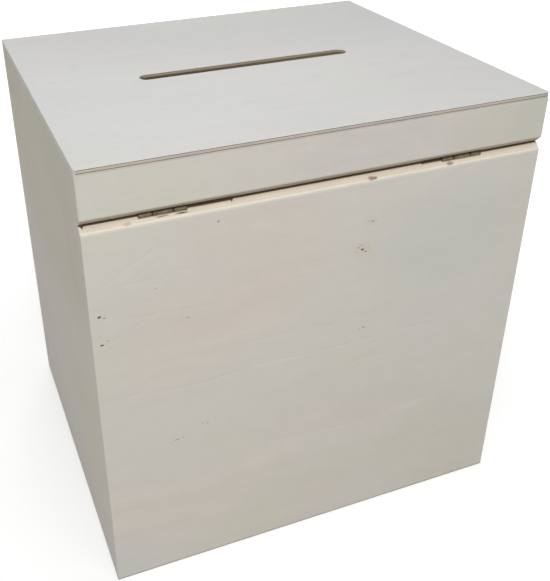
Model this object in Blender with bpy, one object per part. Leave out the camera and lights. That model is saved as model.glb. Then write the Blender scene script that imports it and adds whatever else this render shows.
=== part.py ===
"""Lockable envelope box: a plywood box with a hinged lid, an envelope slot and a cam lock.

The box stands on Z = 0 with the middle of its base at the origin. Its front, with the lock, faces -Y,
its hinges lie along the rear seam at +Y, and X runs from left to right across the front.
All sizes are in metres.
"""

import math

import bmesh
import bpy
from mathutils import Matrix, Vector

# Overall size of the closed box, and how much of its height is lid
BOX_WIDTH = 0.288
BOX_DEPTH = 0.248
BOX_HEIGHT = 0.300
LID_HEIGHT = 0.0332

# Plywood panels and their joints
WALL = 0.010
TOP_THICKNESS = 0.0037
BOTTOM_THICKNESS = 0.004
BOTTOM_REBATE = 0.005
CORNER_RADIUS = 0.002
GLUE_GAP = 0.0003
SEAM_GAP = 0.0003

# Bevels that open the rear seam into a V-groove
BODY_BEVEL = 0.004
LID_BEVEL = 0.0047

# Envelope slot in the top panel
SLOT_LENGTH = 0.147
SLOT_WIDTH = 0.0105
SLOT_OFFSET_X = 0.0012
SLOT_OFFSET_Y = 0.0015

# Butt hinges in the groove
HINGE_LENGTH = 0.027
HINGE_INSET_RIGHT = 0.032
HINGE_INSET_LEFT = 0.042
HINGE_PIN_SETBACK = 0.0036
HINGE_PIN_RADIUS = 0.0005
HINGE_PIN_CLEARANCE = 0.00015
KNUCKLE_RADIUS = 0.00125
MIDDLE_KNUCKLE = 0.0114
KNUCKLE_GAP = 0.0003
LEAF_THICKNESS = 0.0006
LEAF_MARGIN = 0.0004
LEAF_GAP = 0.0004
POCKET_GAP = 0.0004

# Countersunk hinge screws
HINGE_SCREW_LENGTH = 0.007
HINGE_SCREW_RADIUS = 0.0007
HINGE_SCREW_HEAD_RADIUS = 0.00125
HINGE_SCREW_INSET = 0.005
SCREW_GAP = 0.0002

# Cam lock through the front wall
LOCK_DROP = 0.0245
PLUG_RADIUS = 0.006
PLUG_HEAD_LIP = 0.001
PLUG_HEAD_THICKNESS = 0.0012
PLUG_TAIL_WIDTH = 0.007
LOCK_BARREL_WALL = 0.0018
LOCK_BARREL_LENGTH = 0.018
LOCK_FLANGE_RIM = 0.003
LOCK_FLANGE_THICKNESS = 0.0018
LOCK_NUT_WALL = 0.002
LOCK_NUT_THICKNESS = 0.003
LOCK_CLEARANCE = 0.0002
METAL_GAP = 0.0003

# Cam and its screw
CAM_REACH = 0.028
CAM_THICKNESS = 0.002
CAM_HUB_RADIUS = 0.008
CAM_ARM_WIDTH = 0.010
CAM_SCREW_RADIUS = 0.0019
CAM_SCREW_LENGTH = 0.004
CAM_SCREW_HEAD_LIP = 0.0008
CAM_SCREW_HEAD_THICKNESS = 0.002

# Key
KEY_THICKNESS = 0.0018
KEY_BLADE_HEIGHT = 0.0066
KEY_CLEARANCE = 0.0003
KEY_SHOULDER = 0.0012
KEY_NECK_LENGTH = 0.005
KEY_BOW_RADIUS = 0.011
KEY_HOLE_RADIUS = 0.0025
KEY_HOLE_EDGE = 0.003
KEY_CUT_DEPTHS = (0.0016, 0.0008, 0.0020, 0.0012)
KEYWAY_WEB = 0.001

# Strike that the cam catches, hung from the front of the lid
STRIKE_THICKNESS = 0.0015
STRIKE_LIFT = 0.006
STRIKE_MARGIN = 0.004
STRIKE_NUT_GAP = 0.0015
STRIKE_CAM_GAP = 0.0017
STRIKE_LIP_OVERHANG = 0.003
CAM_OVERHANG = 0.001
CATCH_GAP = 0.0005

# Pan-head screws that hold the strike
STRIKE_SCREW_RADIUS = 0.0014
STRIKE_SCREW_BITE = 0.0064
STRIKE_SCREW_HEAD_RADIUS = 0.0026
STRIKE_SCREW_HEAD_HEIGHT = 0.0015
STRIKE_SCREW_SPACING = 0.009

# Sides of a turned piece: small for screws and pins, large for the lock
SMALL_ROUND = 16
LARGE_ROUND = 40
SMOOTH_ANGLE = math.radians(30)

# How far a cutter runs past what it cuts
BEYOND = 0.01

# Levels and faces worked out from the sizes above
LID_BOTTOM = BOX_HEIGHT - LID_HEIGHT
BODY_TOP = LID_BOTTOM - SEAM_GAP
REAR_FACE = BOX_DEPTH / 2
FRONT_FACE = -BOX_DEPTH / 2
FRONT_INSIDE = FRONT_FACE + WALL
HINGE_Y = REAR_FACE - HINGE_PIN_SETBACK
HINGE_Z = BODY_TOP + SEAM_GAP / 2

# A hinge's section, in Y and Z from its pin, for the lid's leaf; the body's leaf mirrors it in Z
LEAF_INNER = LEAF_GAP / 2
LEAF_OUTER = LEAF_INNER + LEAF_THICKNESS
LEAF_EDGE = -KNUCKLE_RADIUS - POCKET_GAP
LEAF_SCREW_Y = LEAF_EDGE - LEAF_MARGIN - SCREW_GAP - HINGE_SCREW_HEAD_RADIUS
LEAF_END = 2 * LEAF_SCREW_Y - LEAF_EDGE

# The lock's radii, and where its pieces start and end along Y
PLUG_HEAD_RADIUS = PLUG_RADIUS + PLUG_HEAD_LIP
BARREL_RADIUS = PLUG_RADIUS + LOCK_CLEARANCE + LOCK_BARREL_WALL
FLANGE_RADIUS = BARREL_RADIUS + LOCK_FLANGE_RIM
NUT_CORNER_RADIUS = (BARREL_RADIUS + LOCK_NUT_WALL) * 2 / math.sqrt(3)
LOCK_Z = BODY_TOP - LOCK_DROP
LOCK_FACE = FRONT_FACE - METAL_GAP - LOCK_FLANGE_THICKNESS
BARREL_END = LOCK_FACE + LOCK_FLANGE_THICKNESS + LOCK_BARREL_LENGTH
CAM_NEAR = BARREL_END + METAL_GAP
CAM_FAR = CAM_NEAR + CAM_THICKNESS
CAM_SCREW_SEAT = CAM_FAR + METAL_GAP
CAM_SCREW_HOLE_END = CAM_SCREW_SEAT - CAM_SCREW_LENGTH - METAL_GAP
KEYWAY_END = CAM_SCREW_HOLE_END - KEYWAY_WEB

# Turned pieces are drawn along Z; this turn lays them along +Y
ALONG_Y = (-math.pi / 2, 0, 0)


# Materials

def finish(name, colour, roughness, metallic=0.0):
    """A Principled BSDF material of one colour."""
    material = bpy.data.materials.new(name)
    material.use_nodes = True
    shader = material.node_tree.nodes["Principled BSDF"]
    shader.inputs["Base Color"].default_value = (*colour, 1.0)
    shader.inputs["Roughness"].default_value = roughness
    shader.inputs["Metallic"].default_value = metallic
    material.diffuse_color = (*colour, 1.0)
    return material


# Shapes

def cleaned(bm):
    bmesh.ops.remove_doubles(bm, verts=bm.verts, dist=1e-7)
    bmesh.ops.recalc_face_normals(bm, faces=bm.faces)
    return bm


def prism(outline, start, end, axes="XYZ"):
    """The outline lies in the first two axes and runs from start to end along the third."""
    bm = bmesh.new()
    rim = [bm.verts.new((a, b, start)) for a, b in outline]
    grown = bmesh.ops.extrude_face_region(bm, geom=[bm.faces.new(rim)])
    far = [item for item in grown["geom"] if isinstance(item, bmesh.types.BMVert)]
    bmesh.ops.translate(bm, vec=(0.0, 0.0, end - start), verts=far)
    swap = Matrix.Identity(4)
    for column, axis in enumerate(axes):
        for row in range(3):
            swap[row][column] = 1.0 if "XYZ"[row] == axis else 0.0
    bm.transform(swap)
    return cleaned(bm)


def block(low, high):
    """A box between two opposite corners."""
    outline = [(low[0], low[1]), (high[0], low[1]), (high[0], high[1]), (low[0], high[1])]
    return prism(outline, low[2], high[2])


def turned(profile, sides):
    """A profile of (radius, height) pairs turned round Z, from the axis and back to it, or closed."""
    bm = bmesh.new()
    line = [bm.verts.new((radius, 0.0, height)) for radius, height in profile]
    edges = [bm.edges.new(pair) for pair in zip(line, line[1:])]
    bmesh.ops.spin(bm, geom=line + edges, cent=(0, 0, 0), axis=(0, 0, 1), angle=math.tau,
                   steps=sides, use_merge=True, use_duplicate=False)
    return cleaned(bm)


def rod(radius, start, end, sides):
    """A plain round rod along Z."""
    return turned([(0, start), (radius, start), (radius, end), (0, end)], sides)


def arc(centre, radius, start, end, steps):
    """Points of an arc, both ends included; the angles are in radians."""
    turns = [start + (end - start) * step / steps for step in range(steps + 1)]
    return [(centre[0] + radius * math.cos(a), centre[1] + radius * math.sin(a)) for a in turns]


def circle(centre, radius, sides):
    """Points of a whole circle."""
    return arc(centre, radius, 0, math.tau, sides)[:-1]


def bent_strip(path, thickness):
    """Outline of a strip that follows a path of points, with its thickness on the path's left."""
    points = [Vector(point) for point in path]
    sides = []
    for here, there in zip(points, points[1:]):
        along = (there - here).normalized()
        sides.append(Vector((-along.y, along.x)))
    inner = [points[0] + sides[0] * thickness]
    for corner, before, after in zip(points[1:], sides, sides[1:]):
        middle = (before + after).normalized()
        inner.append(corner + middle * thickness / middle.dot(before))
    inner.append(points[-1] + sides[-1] * thickness)
    return [tuple(point) for point in points + inner[::-1]]


# Objects

def add(name, bm, material, at=(0, 0, 0), turn=(0, 0, 0), carrier=None, smooth=False):
    """Puts a shape in the scene as one named object."""
    mesh = bpy.data.meshes.new(name)
    bm.to_mesh(mesh)
    bm.free()
    if smooth:
        mesh.shade_smooth()
        mesh.set_sharp_from_angle(angle=SMOOTH_ANGLE)
    if material is not None:
        mesh.materials.append(material)
    piece = bpy.data.objects.new(name, mesh)
    bpy.context.scene.collection.objects.link(piece)
    piece.location = at
    piece.rotation_euler = turn
    if carrier is not None:
        piece.parent = carrier
        piece.matrix_parent_inverse = carrier.matrix_world.inverted()
    return piece


def cutter(name, bm, at=(0, 0, 0), turn=(0, 0, 0), carrier=None):
    """A shape that only cuts others or is added to them: it isn't itself part of the box."""
    tool = add(name, bm, None, at, turn, carrier)
    tool.hide_render = True
    tool.display_type = "WIRE"
    return tool


def boolean(piece, tool, operation="DIFFERENCE"):
    step = piece.modifiers.new(tool.name, "BOOLEAN")
    step.operation = operation
    step.solver = "EXACT"
    step.object = tool


def axis_empty(name, at, carrier=None):
    """An empty on a joint's axis, which carries the pieces that move with it."""
    empty = bpy.data.objects.new(name, None)
    bpy.context.scene.collection.objects.link(empty)
    empty.location = at
    if carrier is not None:
        empty.parent = carrier
        empty.matrix_parent_inverse = carrier.matrix_world.inverted()
    bpy.context.view_layer.update()
    return empty


# Plywood walls and rails: the name of each side, the place of its outer face, its turn about Z and its length

SIDES = (
    ("front", (0.0, FRONT_FACE), 0.0, BOX_WIDTH),
    ("right", (BOX_WIDTH / 2, 0.0), math.pi / 2, BOX_DEPTH),
    ("rear", (0.0, REAR_FACE), math.pi, BOX_WIDTH),
    ("left", (-BOX_WIDTH / 2, 0.0), -math.pi / 2, BOX_DEPTH),
)


def mitred_outline(length):
    """Plan of a wall along X, outer face at y = 0: mitred ends that leave the glue gap, rounded outside."""
    pull = GLUE_GAP / math.sqrt(2)
    last = math.pi / 4 - math.acos(-pull / (math.sqrt(2) * CORNER_RADIUS))
    right = arc((length / 2 - CORNER_RADIUS, CORNER_RADIUS), CORNER_RADIUS, -math.pi / 2, last, 4)
    left = [(-x, y) for x, y in reversed(right)]
    inner = length / 2 - WALL - pull
    return right + [(inner, WALL), (-inner, WALL)] + left


def four_sides(suffix, bottom, top, wood, carrier=None):
    sides = {}
    for name, (x, y), turn, length in SIDES:
        shape = prism(mitred_outline(length), 0.0, top - bottom)
        sides[name] = add(name + suffix, shape, wood, (x, y, bottom), (0, 0, turn), carrier)
    return sides


def bevel_rear(sides, name, level, leg, direction, carrier=None):
    """Bevels the rear edge at this level at 45 degrees, downwards or upwards, right through the mitres."""
    inner = REAR_FACE - leg
    outer = REAR_FACE + BEYOND
    outline = [(inner, level), (outer, level + direction * (outer - inner)),
               (outer, level - direction * BEYOND), (inner, level - direction * BEYOND)]
    half = BOX_WIDTH / 2 + BEYOND
    tool = cutter(name, prism(outline, -half, half, "YZX"), carrier=carrier)
    for side in ("left", "rear", "right"):
        boolean(sides[side], tool)


def build_body(wood, bottom_wood):
    walls = four_sides("_wall", 0.0, BODY_TOP, wood)
    bevel_rear(walls, "body_bevel_cut", BODY_TOP, BODY_BEVEL, -1)

    half_x = BOX_WIDTH / 2 - WALL + BOTTOM_REBATE
    half_y = BOX_DEPTH / 2 - WALL + BOTTOM_REBATE
    rebate = cutter("bottom_rebate_cut", block((-half_x, -half_y, -BEYOND),
                                               (half_x, half_y, BOTTOM_THICKNESS + GLUE_GAP)))
    for wall in walls.values():
        boolean(wall, rebate)
    low = (-half_x + GLUE_GAP, -half_y + GLUE_GAP, 0.0)
    high = (half_x - GLUE_GAP, half_y - GLUE_GAP, BOTTOM_THICKNESS)
    add("bottom_panel", block(low, high), bottom_wood)
    return walls


def rounded_rectangle(width, depth, radius, steps=6):
    outline = []
    for quarter, (side_x, side_y) in enumerate(((1, 1), (-1, 1), (-1, -1), (1, -1))):
        centre = (side_x * (width / 2 - radius), side_y * (depth / 2 - radius))
        start = quarter * math.pi / 2
        outline += arc(centre, radius, start, start + math.pi / 2, steps)
    return outline


def slot_outline(length, width, steps=12):
    end = (length - width) / 2
    outline = arc((end, 0), width / 2, -math.pi / 2, math.pi / 2, steps)
    return outline + arc((-end, 0), width / 2, math.pi / 2, math.pi * 3 / 2, steps)


def build_lid(wood, top_wood, carrier):
    panel_bottom = BOX_HEIGHT - TOP_THICKNESS
    rails = four_sides("_rail", LID_BOTTOM, panel_bottom - GLUE_GAP, wood, carrier)
    bevel_rear(rails, "lid_bevel_cut", LID_BOTTOM, LID_BEVEL, 1, carrier)

    plate = prism(rounded_rectangle(BOX_WIDTH, BOX_DEPTH, CORNER_RADIUS), panel_bottom, BOX_HEIGHT)
    panel = add("top_panel", plate, top_wood, carrier=carrier)
    slot = prism(slot_outline(SLOT_LENGTH, SLOT_WIDTH), panel_bottom - BEYOND, BOX_HEIGHT + BEYOND)
    boolean(panel, cutter("envelope_slot_cut", slot, (SLOT_OFFSET_X, SLOT_OFFSET_Y, 0), carrier=carrier))
    return rails


# Hinges: up is 1 for the lid's leaf and -1 for the body's

def leaf_section(up):
    return [(LEAF_END, up * LEAF_INNER), (LEAF_EDGE, up * LEAF_INNER),
            (LEAF_EDGE, up * LEAF_OUTER), (LEAF_END, up * LEAF_OUTER)]


def knuckle_section(up):
    """A knuckle, and the strip that joins it to its leaf."""
    low = math.asin(LEAF_INNER / KNUCKLE_RADIUS)
    high = math.asin(LEAF_OUTER / KNUCKLE_RADIUS)
    root = LEAF_EDGE - POCKET_GAP
    outline = [(root, LEAF_INNER), (root, LEAF_OUTER)]
    outline += arc((0, 0), KNUCKLE_RADIUS, math.pi - high, -math.pi - low, 20)
    return [(y, up * z) for y, z in outline]


def pocket_section(up):
    """What is cut from the wood for a leaf and for the knuckles of both leaves."""
    depth = LEAF_OUTER + METAL_GAP
    knuckle = KNUCKLE_RADIUS + POCKET_GAP
    outline = [(LEAF_END - POCKET_GAP, -BEYOND), (LEAF_END - POCKET_GAP, depth), (LEAF_EDGE, depth),
               (LEAF_EDGE, knuckle), (BEYOND, knuckle), (BEYOND, -BEYOND)]
    return [(y, up * z) for y, z in outline]


def countersunk_profile(grow=0.0):
    """A countersunk screw, point down, with its head up to z = 0; grow widens it into its hole."""
    sink = HINGE_SCREW_HEAD_RADIUS - HINGE_SCREW_RADIUS
    head = HINGE_SCREW_HEAD_RADIUS + grow
    shank = HINGE_SCREW_RADIUS + grow
    point = -HINGE_SCREW_LENGTH - grow
    return [(0, point), (shank, point + 2 * shank), (shank, -sink), (head, 0)]


def add_hinge_screw(name, place, turn, brass, carrier):
    """A countersunk screw with a slot across its head."""
    shape = turned(countersunk_profile() + [(0, 0)], SMALL_ROUND)
    screw = add(name, shape, brass, place, turn, carrier, smooth=True)
    half_length = HINGE_SCREW_HEAD_RADIUS + SCREW_GAP
    half_width = HINGE_SCREW_RADIUS / 4
    depth = HINGE_SCREW_RADIUS / 3
    slot = block((-half_length, -half_width, -depth), (half_length, half_width, LEAF_GAP))
    boolean(screw, cutter(name + "_slot_cut", slot, place, turn, carrier))


def add_leaf(name, x, up, knuckle_spans, brass, wood_piece, carrier):
    """One leaf with its knuckles, let into the wood above or below the seam, and its two screws."""
    at = (x, HINGE_Y, HINGE_Z)
    half = HINGE_LENGTH / 2
    plate = prism(leaf_section(up), -half, half, "YZX")
    leaf = add(name, plate, brass, at, carrier=carrier, smooth=True)
    for number, (start, end) in enumerate(knuckle_spans, 1):
        knuckle = prism(knuckle_section(up), start, end, "YZX")
        boolean(leaf, cutter(f"{name}_knuckle_{number}", knuckle, at, carrier=carrier), "UNION")
    bore = circle((0, 0), HINGE_PIN_RADIUS + HINGE_PIN_CLEARANCE, SMALL_ROUND)
    bore_cut = prism(bore, -half - BEYOND, half + BEYOND, "YZX")
    boolean(leaf, cutter(name + "_bore_cut", bore_cut, at, carrier=carrier))

    pocket = prism(pocket_section(up), -half - POCKET_GAP, half + POCKET_GAP, "YZX")
    boolean(wood_piece, cutter(name + "_pocket_cut", pocket, at, carrier=carrier))

    turn = (math.pi, 0, 0) if up > 0 else (0, 0, 0)
    hole_radius = HINGE_SCREW_HEAD_RADIUS + SCREW_GAP
    hole_profile = countersunk_profile(SCREW_GAP) + [(hole_radius, LEAF_INNER), (0, LEAF_INNER)]
    for number, side in enumerate((-1, 1), 1):
        place = (x + side * (half - HINGE_SCREW_INSET), HINGE_Y + LEAF_SCREW_Y, HINGE_Z + up * LEAF_INNER)
        hole = cutter(f"{name}_hole_{number}_cut", turned(hole_profile, SMALL_ROUND), place, turn, carrier)
        boolean(leaf, hole)
        boolean(wood_piece, hole)
        add_hinge_screw(f"{name}_screw_{number}", place, turn, brass, carrier)


def build_hinges(brass, rear_wall, rear_rail, lid_axis):
    """Two hinges: the body's leaf has the outer knuckles, the lid's leaf the middle one."""
    half = HINGE_LENGTH / 2
    middle = MIDDLE_KNUCKLE / 2
    lid_knuckles = [(-middle, middle)]
    body_knuckles = [(-half, -middle - KNUCKLE_GAP), (middle + KNUCKLE_GAP, half)]
    centres = {
        "right": BOX_WIDTH / 2 - HINGE_INSET_RIGHT - half,
        "left": -BOX_WIDTH / 2 + HINGE_INSET_LEFT + half,
    }
    for side, x in centres.items():
        add_leaf(f"{side}_hinge_body_leaf", x, -1, body_knuckles, brass, rear_wall, None)
        add_leaf(f"{side}_hinge_lid_leaf", x, 1, lid_knuckles, brass, rear_rail, lid_axis)
        pin = prism(circle((0, 0), HINGE_PIN_RADIUS, SMALL_ROUND), -half, half, "YZX")
        add(f"{side}_hinge_pin", pin, brass, (x, HINGE_Y, HINGE_Z), smooth=True)


# Lock

def build_housing(nickel, front_wall):
    """The fixed part of the lock: a round face, a barrel through the wall, and a bore for the plug."""
    length = BARREL_END - LOCK_FACE
    bore = PLUG_RADIUS + LOCK_CLEARANCE
    mouth = PLUG_HEAD_RADIUS + LOCK_CLEARANCE
    mouth_depth = PLUG_HEAD_THICKNESS + METAL_GAP
    rim = LOCK_FLANGE_THICKNESS / 3
    profile = [(mouth, 0), (FLANGE_RADIUS - rim, 0), (FLANGE_RADIUS, rim),
               (FLANGE_RADIUS, LOCK_FLANGE_THICKNESS), (BARREL_RADIUS, LOCK_FLANGE_THICKNESS),
               (BARREL_RADIUS, length), (bore, length), (bore, mouth_depth), (mouth, mouth_depth), (mouth, 0)]
    add("lock_housing", turned(profile, LARGE_ROUND), nickel, (0, LOCK_FACE, LOCK_Z), ALONG_Y, smooth=True)
    hole = rod(BARREL_RADIUS + METAL_GAP, -BEYOND, WALL + BEYOND, LARGE_ROUND)
    boolean(front_wall, cutter("lock_hole_cut", hole, (0, FRONT_FACE, LOCK_Z), ALONG_Y))


def build_nut(steel):
    """The hexagon nut that clamps the housing from inside."""
    place = (0, FRONT_INSIDE + METAL_GAP, LOCK_Z)
    hexagon = prism(circle((0, 0), NUT_CORNER_RADIUS, 6), 0, LOCK_NUT_THICKNESS)
    nut = add("lock_nut", hexagon, steel, place, ALONG_Y)
    bore = rod(BARREL_RADIUS + LOCK_CLEARANCE, -BEYOND, BEYOND, LARGE_ROUND)
    boolean(nut, cutter("lock_nut_bore_cut", bore, place, ALONG_Y))


def build_plug(nickel, carrier):
    """The part that the key turns: a head with the keyway, a body in the bore, and a square tail."""
    length = BARREL_END - LOCK_FACE
    profile = [(0, 0), (PLUG_HEAD_RADIUS, 0), (PLUG_HEAD_RADIUS, PLUG_HEAD_THICKNESS),
               (PLUG_RADIUS, PLUG_HEAD_THICKNESS), (PLUG_RADIUS, length), (0, length)]
    face = (0, LOCK_FACE, LOCK_Z)
    plug = add("lock_plug", turned(profile, LARGE_ROUND), nickel, face, ALONG_Y, carrier, smooth=True)

    at = (0, 0, LOCK_Z)
    half = PLUG_TAIL_WIDTH / 2
    tail = block((-half, BARREL_END - CAM_THICKNESS, -half), (half, CAM_FAR - METAL_GAP, half))
    boolean(plug, cutter("plug_tail", tail, at, carrier=carrier), "UNION")

    half_width = KEY_THICKNESS / 2 + KEY_CLEARANCE
    half_height = KEY_BLADE_HEIGHT / 2 + KEY_CLEARANCE
    keyway = block((-half_width, LOCK_FACE - BEYOND, -half_height), (half_width, KEYWAY_END, half_height))
    boolean(plug, cutter("keyway_cut", keyway, at, carrier=carrier))

    hole = rod(CAM_SCREW_RADIUS + LOCK_CLEARANCE, CAM_SCREW_HOLE_END, CAM_SCREW_SEAT + BEYOND, SMALL_ROUND)
    boolean(plug, cutter("cam_screw_hole_cut", hole, at, ALONG_Y, carrier))


def add_cross_slot(screw, radius, width, bottom, place, carrier):
    """Cuts a cross into the head of a screw along Y; bottom is the cut's depth, measured from the seat."""
    for number, (half_x, half_z) in enumerate(((radius, width / 2), (width / 2, radius)), 1):
        bar = block((-half_x, bottom, -half_z), (half_x, bottom + BEYOND, half_z))
        boolean(screw, cutter(f"{screw.name}_cross_{number}_cut", bar, place, carrier=carrier))


def build_cam(steel, carrier):
    """The cam points to the left when the lock is open, and passes over the top to close."""
    half_arm = CAM_ARM_WIDTH / 2
    meet = math.asin(half_arm / CAM_HUB_RADIUS)
    outline = arc((0, 0), CAM_HUB_RADIUS, meet - math.pi, math.pi - meet, 24)
    outline += arc((half_arm - CAM_REACH, 0), half_arm, math.pi / 2, math.pi * 3 / 2, 12)
    place = (0, CAM_NEAR, LOCK_Z)
    cam = add("lock_cam", prism(outline, 0, CAM_THICKNESS, "XZY"), steel, place, carrier=carrier)
    half_square = PLUG_TAIL_WIDTH / 2 + LOCK_CLEARANCE
    square = block((-half_square, -BEYOND, -half_square), (half_square, BEYOND, half_square))
    boolean(cam, cutter("cam_square_cut", square, place, carrier=carrier))

    head = half_square + CAM_SCREW_HEAD_LIP
    crown = CAM_SCREW_HEAD_THICKNESS
    shank = CAM_SCREW_RADIUS
    profile = [(0, -CAM_SCREW_LENGTH), (shank, -CAM_SCREW_LENGTH), (shank, 0), (head, 0),
               (head, crown * 0.6), (head * 0.75, crown), (0, crown)]
    seat = (0, CAM_SCREW_SEAT, LOCK_Z)
    screw = add("cam_screw", turned(profile, SMALL_ROUND), steel, seat, ALONG_Y, carrier, smooth=True)
    add_cross_slot(screw, head * 0.6, shank / 2, crown / 2, seat, carrier)


def key_outline(blade_length):
    """Side view of the key in Y and Z, with its shoulder at y = 0 and its blade towards +Y."""
    top = KEY_BLADE_HEIGHT / 2
    shoulder = top + KEY_SHOULDER
    tip = KEY_BLADE_HEIGHT / 4
    pitch = blade_length / (len(KEY_CUT_DEPTHS) + 1)
    flat = pitch / 6
    outline = [(0, shoulder), (0, top)]
    for number, depth in enumerate(KEY_CUT_DEPTHS, 1):
        middle = number * pitch
        slope = flat + depth / 2
        outline += [(middle - slope, top), (middle - flat, top - depth),
                    (middle + flat, top - depth), (middle + slope, top)]
    outline += [(blade_length - tip, top), (blade_length, tip), (blade_length, -tip)]
    outline += [(blade_length - tip, -top), (0, -top), (0, -shoulder)]
    meet = math.asin(shoulder / KEY_BOW_RADIUS)
    bow_centre = -KEY_NECK_LENGTH - KEY_BOW_RADIUS * math.cos(meet)
    outline += arc((bow_centre, 0), KEY_BOW_RADIUS, -meet, meet - math.tau, 28)
    return outline, bow_centre


def build_key(nickel, carrier):
    shoulder_y = LOCK_FACE - METAL_GAP
    outline, bow_centre = key_outline(KEYWAY_END - KEY_CLEARANCE - shoulder_y)
    place = (0, shoulder_y, LOCK_Z)
    half = KEY_THICKNESS / 2
    key = add("key", prism(outline, -half, half, "YZX"), nickel, place, carrier=carrier)
    hole_centre = bow_centre - KEY_BOW_RADIUS + KEY_HOLE_EDGE + KEY_HOLE_RADIUS
    hole = circle((hole_centre, 0), KEY_HOLE_RADIUS, SMALL_ROUND)
    boolean(key, cutter("key_ring_hole_cut", prism(hole, -BEYOND, BEYOND, "YZX"), place, carrier=carrier))


# Strike

def build_strike(brass, front_rail, carrier):
    """A plate screwed inside the lid's front rail, stepped back to clear the wall as the lid opens,
    with a lip that hooks under the turned cam between the nut and the cam's tip.
    """
    seat = FRONT_INSIDE + METAL_GAP
    leg = CAM_NEAR - STRIKE_CAM_GAP - STRIKE_THICKNESS
    flange_bottom = LID_BOTTOM + STRIKE_LIFT
    flange_top = flange_bottom + STRIKE_SCREW_SPACING + 2 * STRIKE_MARGIN
    lip = LOCK_Z - CAM_ARM_WIDTH / 2 - CATCH_GAP - STRIKE_THICKNESS
    path = [(seat, flange_top), (seat, flange_bottom), (leg, flange_bottom - (leg - seat)), (leg, lip),
            (CAM_FAR + STRIKE_LIP_OVERHANG, lip)]
    start = NUT_CORNER_RADIUS + STRIKE_NUT_GAP
    end = CAM_REACH - CAM_OVERHANG
    shape = prism(bent_strip(path, STRIKE_THICKNESS), start, end, "YZX")
    strike = add("strike", shape, brass, carrier=carrier)

    head = STRIKE_SCREW_HEAD_RADIUS
    crown = STRIKE_SCREW_HEAD_HEIGHT
    shank = STRIKE_SCREW_RADIUS
    length = STRIKE_SCREW_BITE + STRIKE_THICKNESS + 2 * METAL_GAP
    profile = [(0, -length), (shank, 2 * shank - length), (shank, 0), (head, 0),
               (head * 0.9, crown * 0.6), (head * 0.5, crown), (0, crown)]
    head_y = seat + STRIKE_THICKNESS + METAL_GAP
    for number, offset in enumerate((0, STRIKE_SCREW_SPACING), 1):
        place = ((start + end) / 2, head_y, flange_bottom + STRIKE_MARGIN + offset)
        hole = rod(shank + METAL_GAP, -length - METAL_GAP, METAL_GAP, SMALL_ROUND)
        tool = cutter(f"strike_screw_hole_{number}_cut", hole, place, ALONG_Y, carrier)
        boolean(strike, tool)
        boolean(front_rail, tool)
        screw = add(f"strike_screw_{number}", turned(profile, SMALL_ROUND), brass, place, ALONG_Y, carrier,
                    smooth=True)
        add_cross_slot(screw, head * 0.55, shank / 2, crown / 2, place, carrier)


def main():
    for old in list(bpy.data.objects):
        bpy.data.objects.remove(old, do_unlink=True)

    wood = finish("plywood_wall", (0.56, 0.52, 0.45), 0.7)
    top_wood = finish("plywood_top", (0.64, 0.62, 0.59), 0.65)
    bottom_wood = finish("plywood_bottom", (0.55, 0.50, 0.42), 0.75)
    brass = finish("aged_brass", (0.42, 0.35, 0.20), 0.4, 1.0)
    nickel = finish("nickel_plate", (0.62, 0.61, 0.58), 0.25, 1.0)
    steel = finish("zinc_plated_steel", (0.55, 0.56, 0.57), 0.35, 1.0)

    lid_axis = axis_empty("lid_hinge_axis", (0, HINGE_Y, HINGE_Z))
    lock_axis = axis_empty("lock_axis", (0, LOCK_FACE, LOCK_Z))
    key_axis = axis_empty("key_axis", (0, LOCK_FACE, LOCK_Z), lock_axis)

    walls = build_body(wood, bottom_wood)
    rails = build_lid(wood, top_wood, lid_axis)
    build_hinges(brass, walls["rear"], rails["rear"], lid_axis)
    build_housing(nickel, walls["front"])
    build_nut(steel)
    build_plug(nickel, lock_axis)
    build_cam(steel, lock_axis)
    build_key(nickel, key_axis)
    build_strike(brass, rails["front"], lid_axis)


main()
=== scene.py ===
import math

import bmesh
import bpy
from mathutils import Matrix, Vector


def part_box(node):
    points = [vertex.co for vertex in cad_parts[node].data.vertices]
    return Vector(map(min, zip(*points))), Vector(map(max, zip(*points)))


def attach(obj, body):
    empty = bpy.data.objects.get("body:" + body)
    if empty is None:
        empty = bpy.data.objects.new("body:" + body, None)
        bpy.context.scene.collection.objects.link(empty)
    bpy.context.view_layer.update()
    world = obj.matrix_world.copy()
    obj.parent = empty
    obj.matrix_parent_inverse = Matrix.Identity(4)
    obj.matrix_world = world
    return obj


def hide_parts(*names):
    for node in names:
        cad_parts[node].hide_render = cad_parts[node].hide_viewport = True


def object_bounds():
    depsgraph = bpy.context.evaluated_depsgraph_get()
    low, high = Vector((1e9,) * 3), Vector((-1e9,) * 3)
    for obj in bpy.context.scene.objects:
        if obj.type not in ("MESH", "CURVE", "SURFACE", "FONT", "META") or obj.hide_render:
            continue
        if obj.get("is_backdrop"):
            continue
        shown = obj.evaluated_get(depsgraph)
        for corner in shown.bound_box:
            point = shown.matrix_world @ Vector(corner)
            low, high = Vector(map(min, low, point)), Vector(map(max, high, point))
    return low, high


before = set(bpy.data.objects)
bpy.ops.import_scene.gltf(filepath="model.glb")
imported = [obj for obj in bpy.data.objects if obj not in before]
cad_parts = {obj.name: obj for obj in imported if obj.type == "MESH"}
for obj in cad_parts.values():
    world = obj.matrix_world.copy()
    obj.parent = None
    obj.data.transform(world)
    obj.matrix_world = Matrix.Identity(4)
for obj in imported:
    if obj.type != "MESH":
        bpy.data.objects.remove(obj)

# The looks of the lockable envelope box: bare plywood, aged brass hinges and a nickel-plated cam lock.
# Lengths are in metres; MM turns millimetres into them.
MM = 0.001
X, Y, Z = 0, 1, 2

# Where a piece lies, as the way from the seam into its wood: the lid is above the seam, the body below it
ABOVE = 1.0
BELOW = -1.0


def corners(node):
    """Lowest and highest corner of a CAD node."""
    low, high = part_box(node)
    return Vector(low), Vector(high)


def cad_points(node):
    return [vert.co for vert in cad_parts[node].data.vertices]


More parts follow.
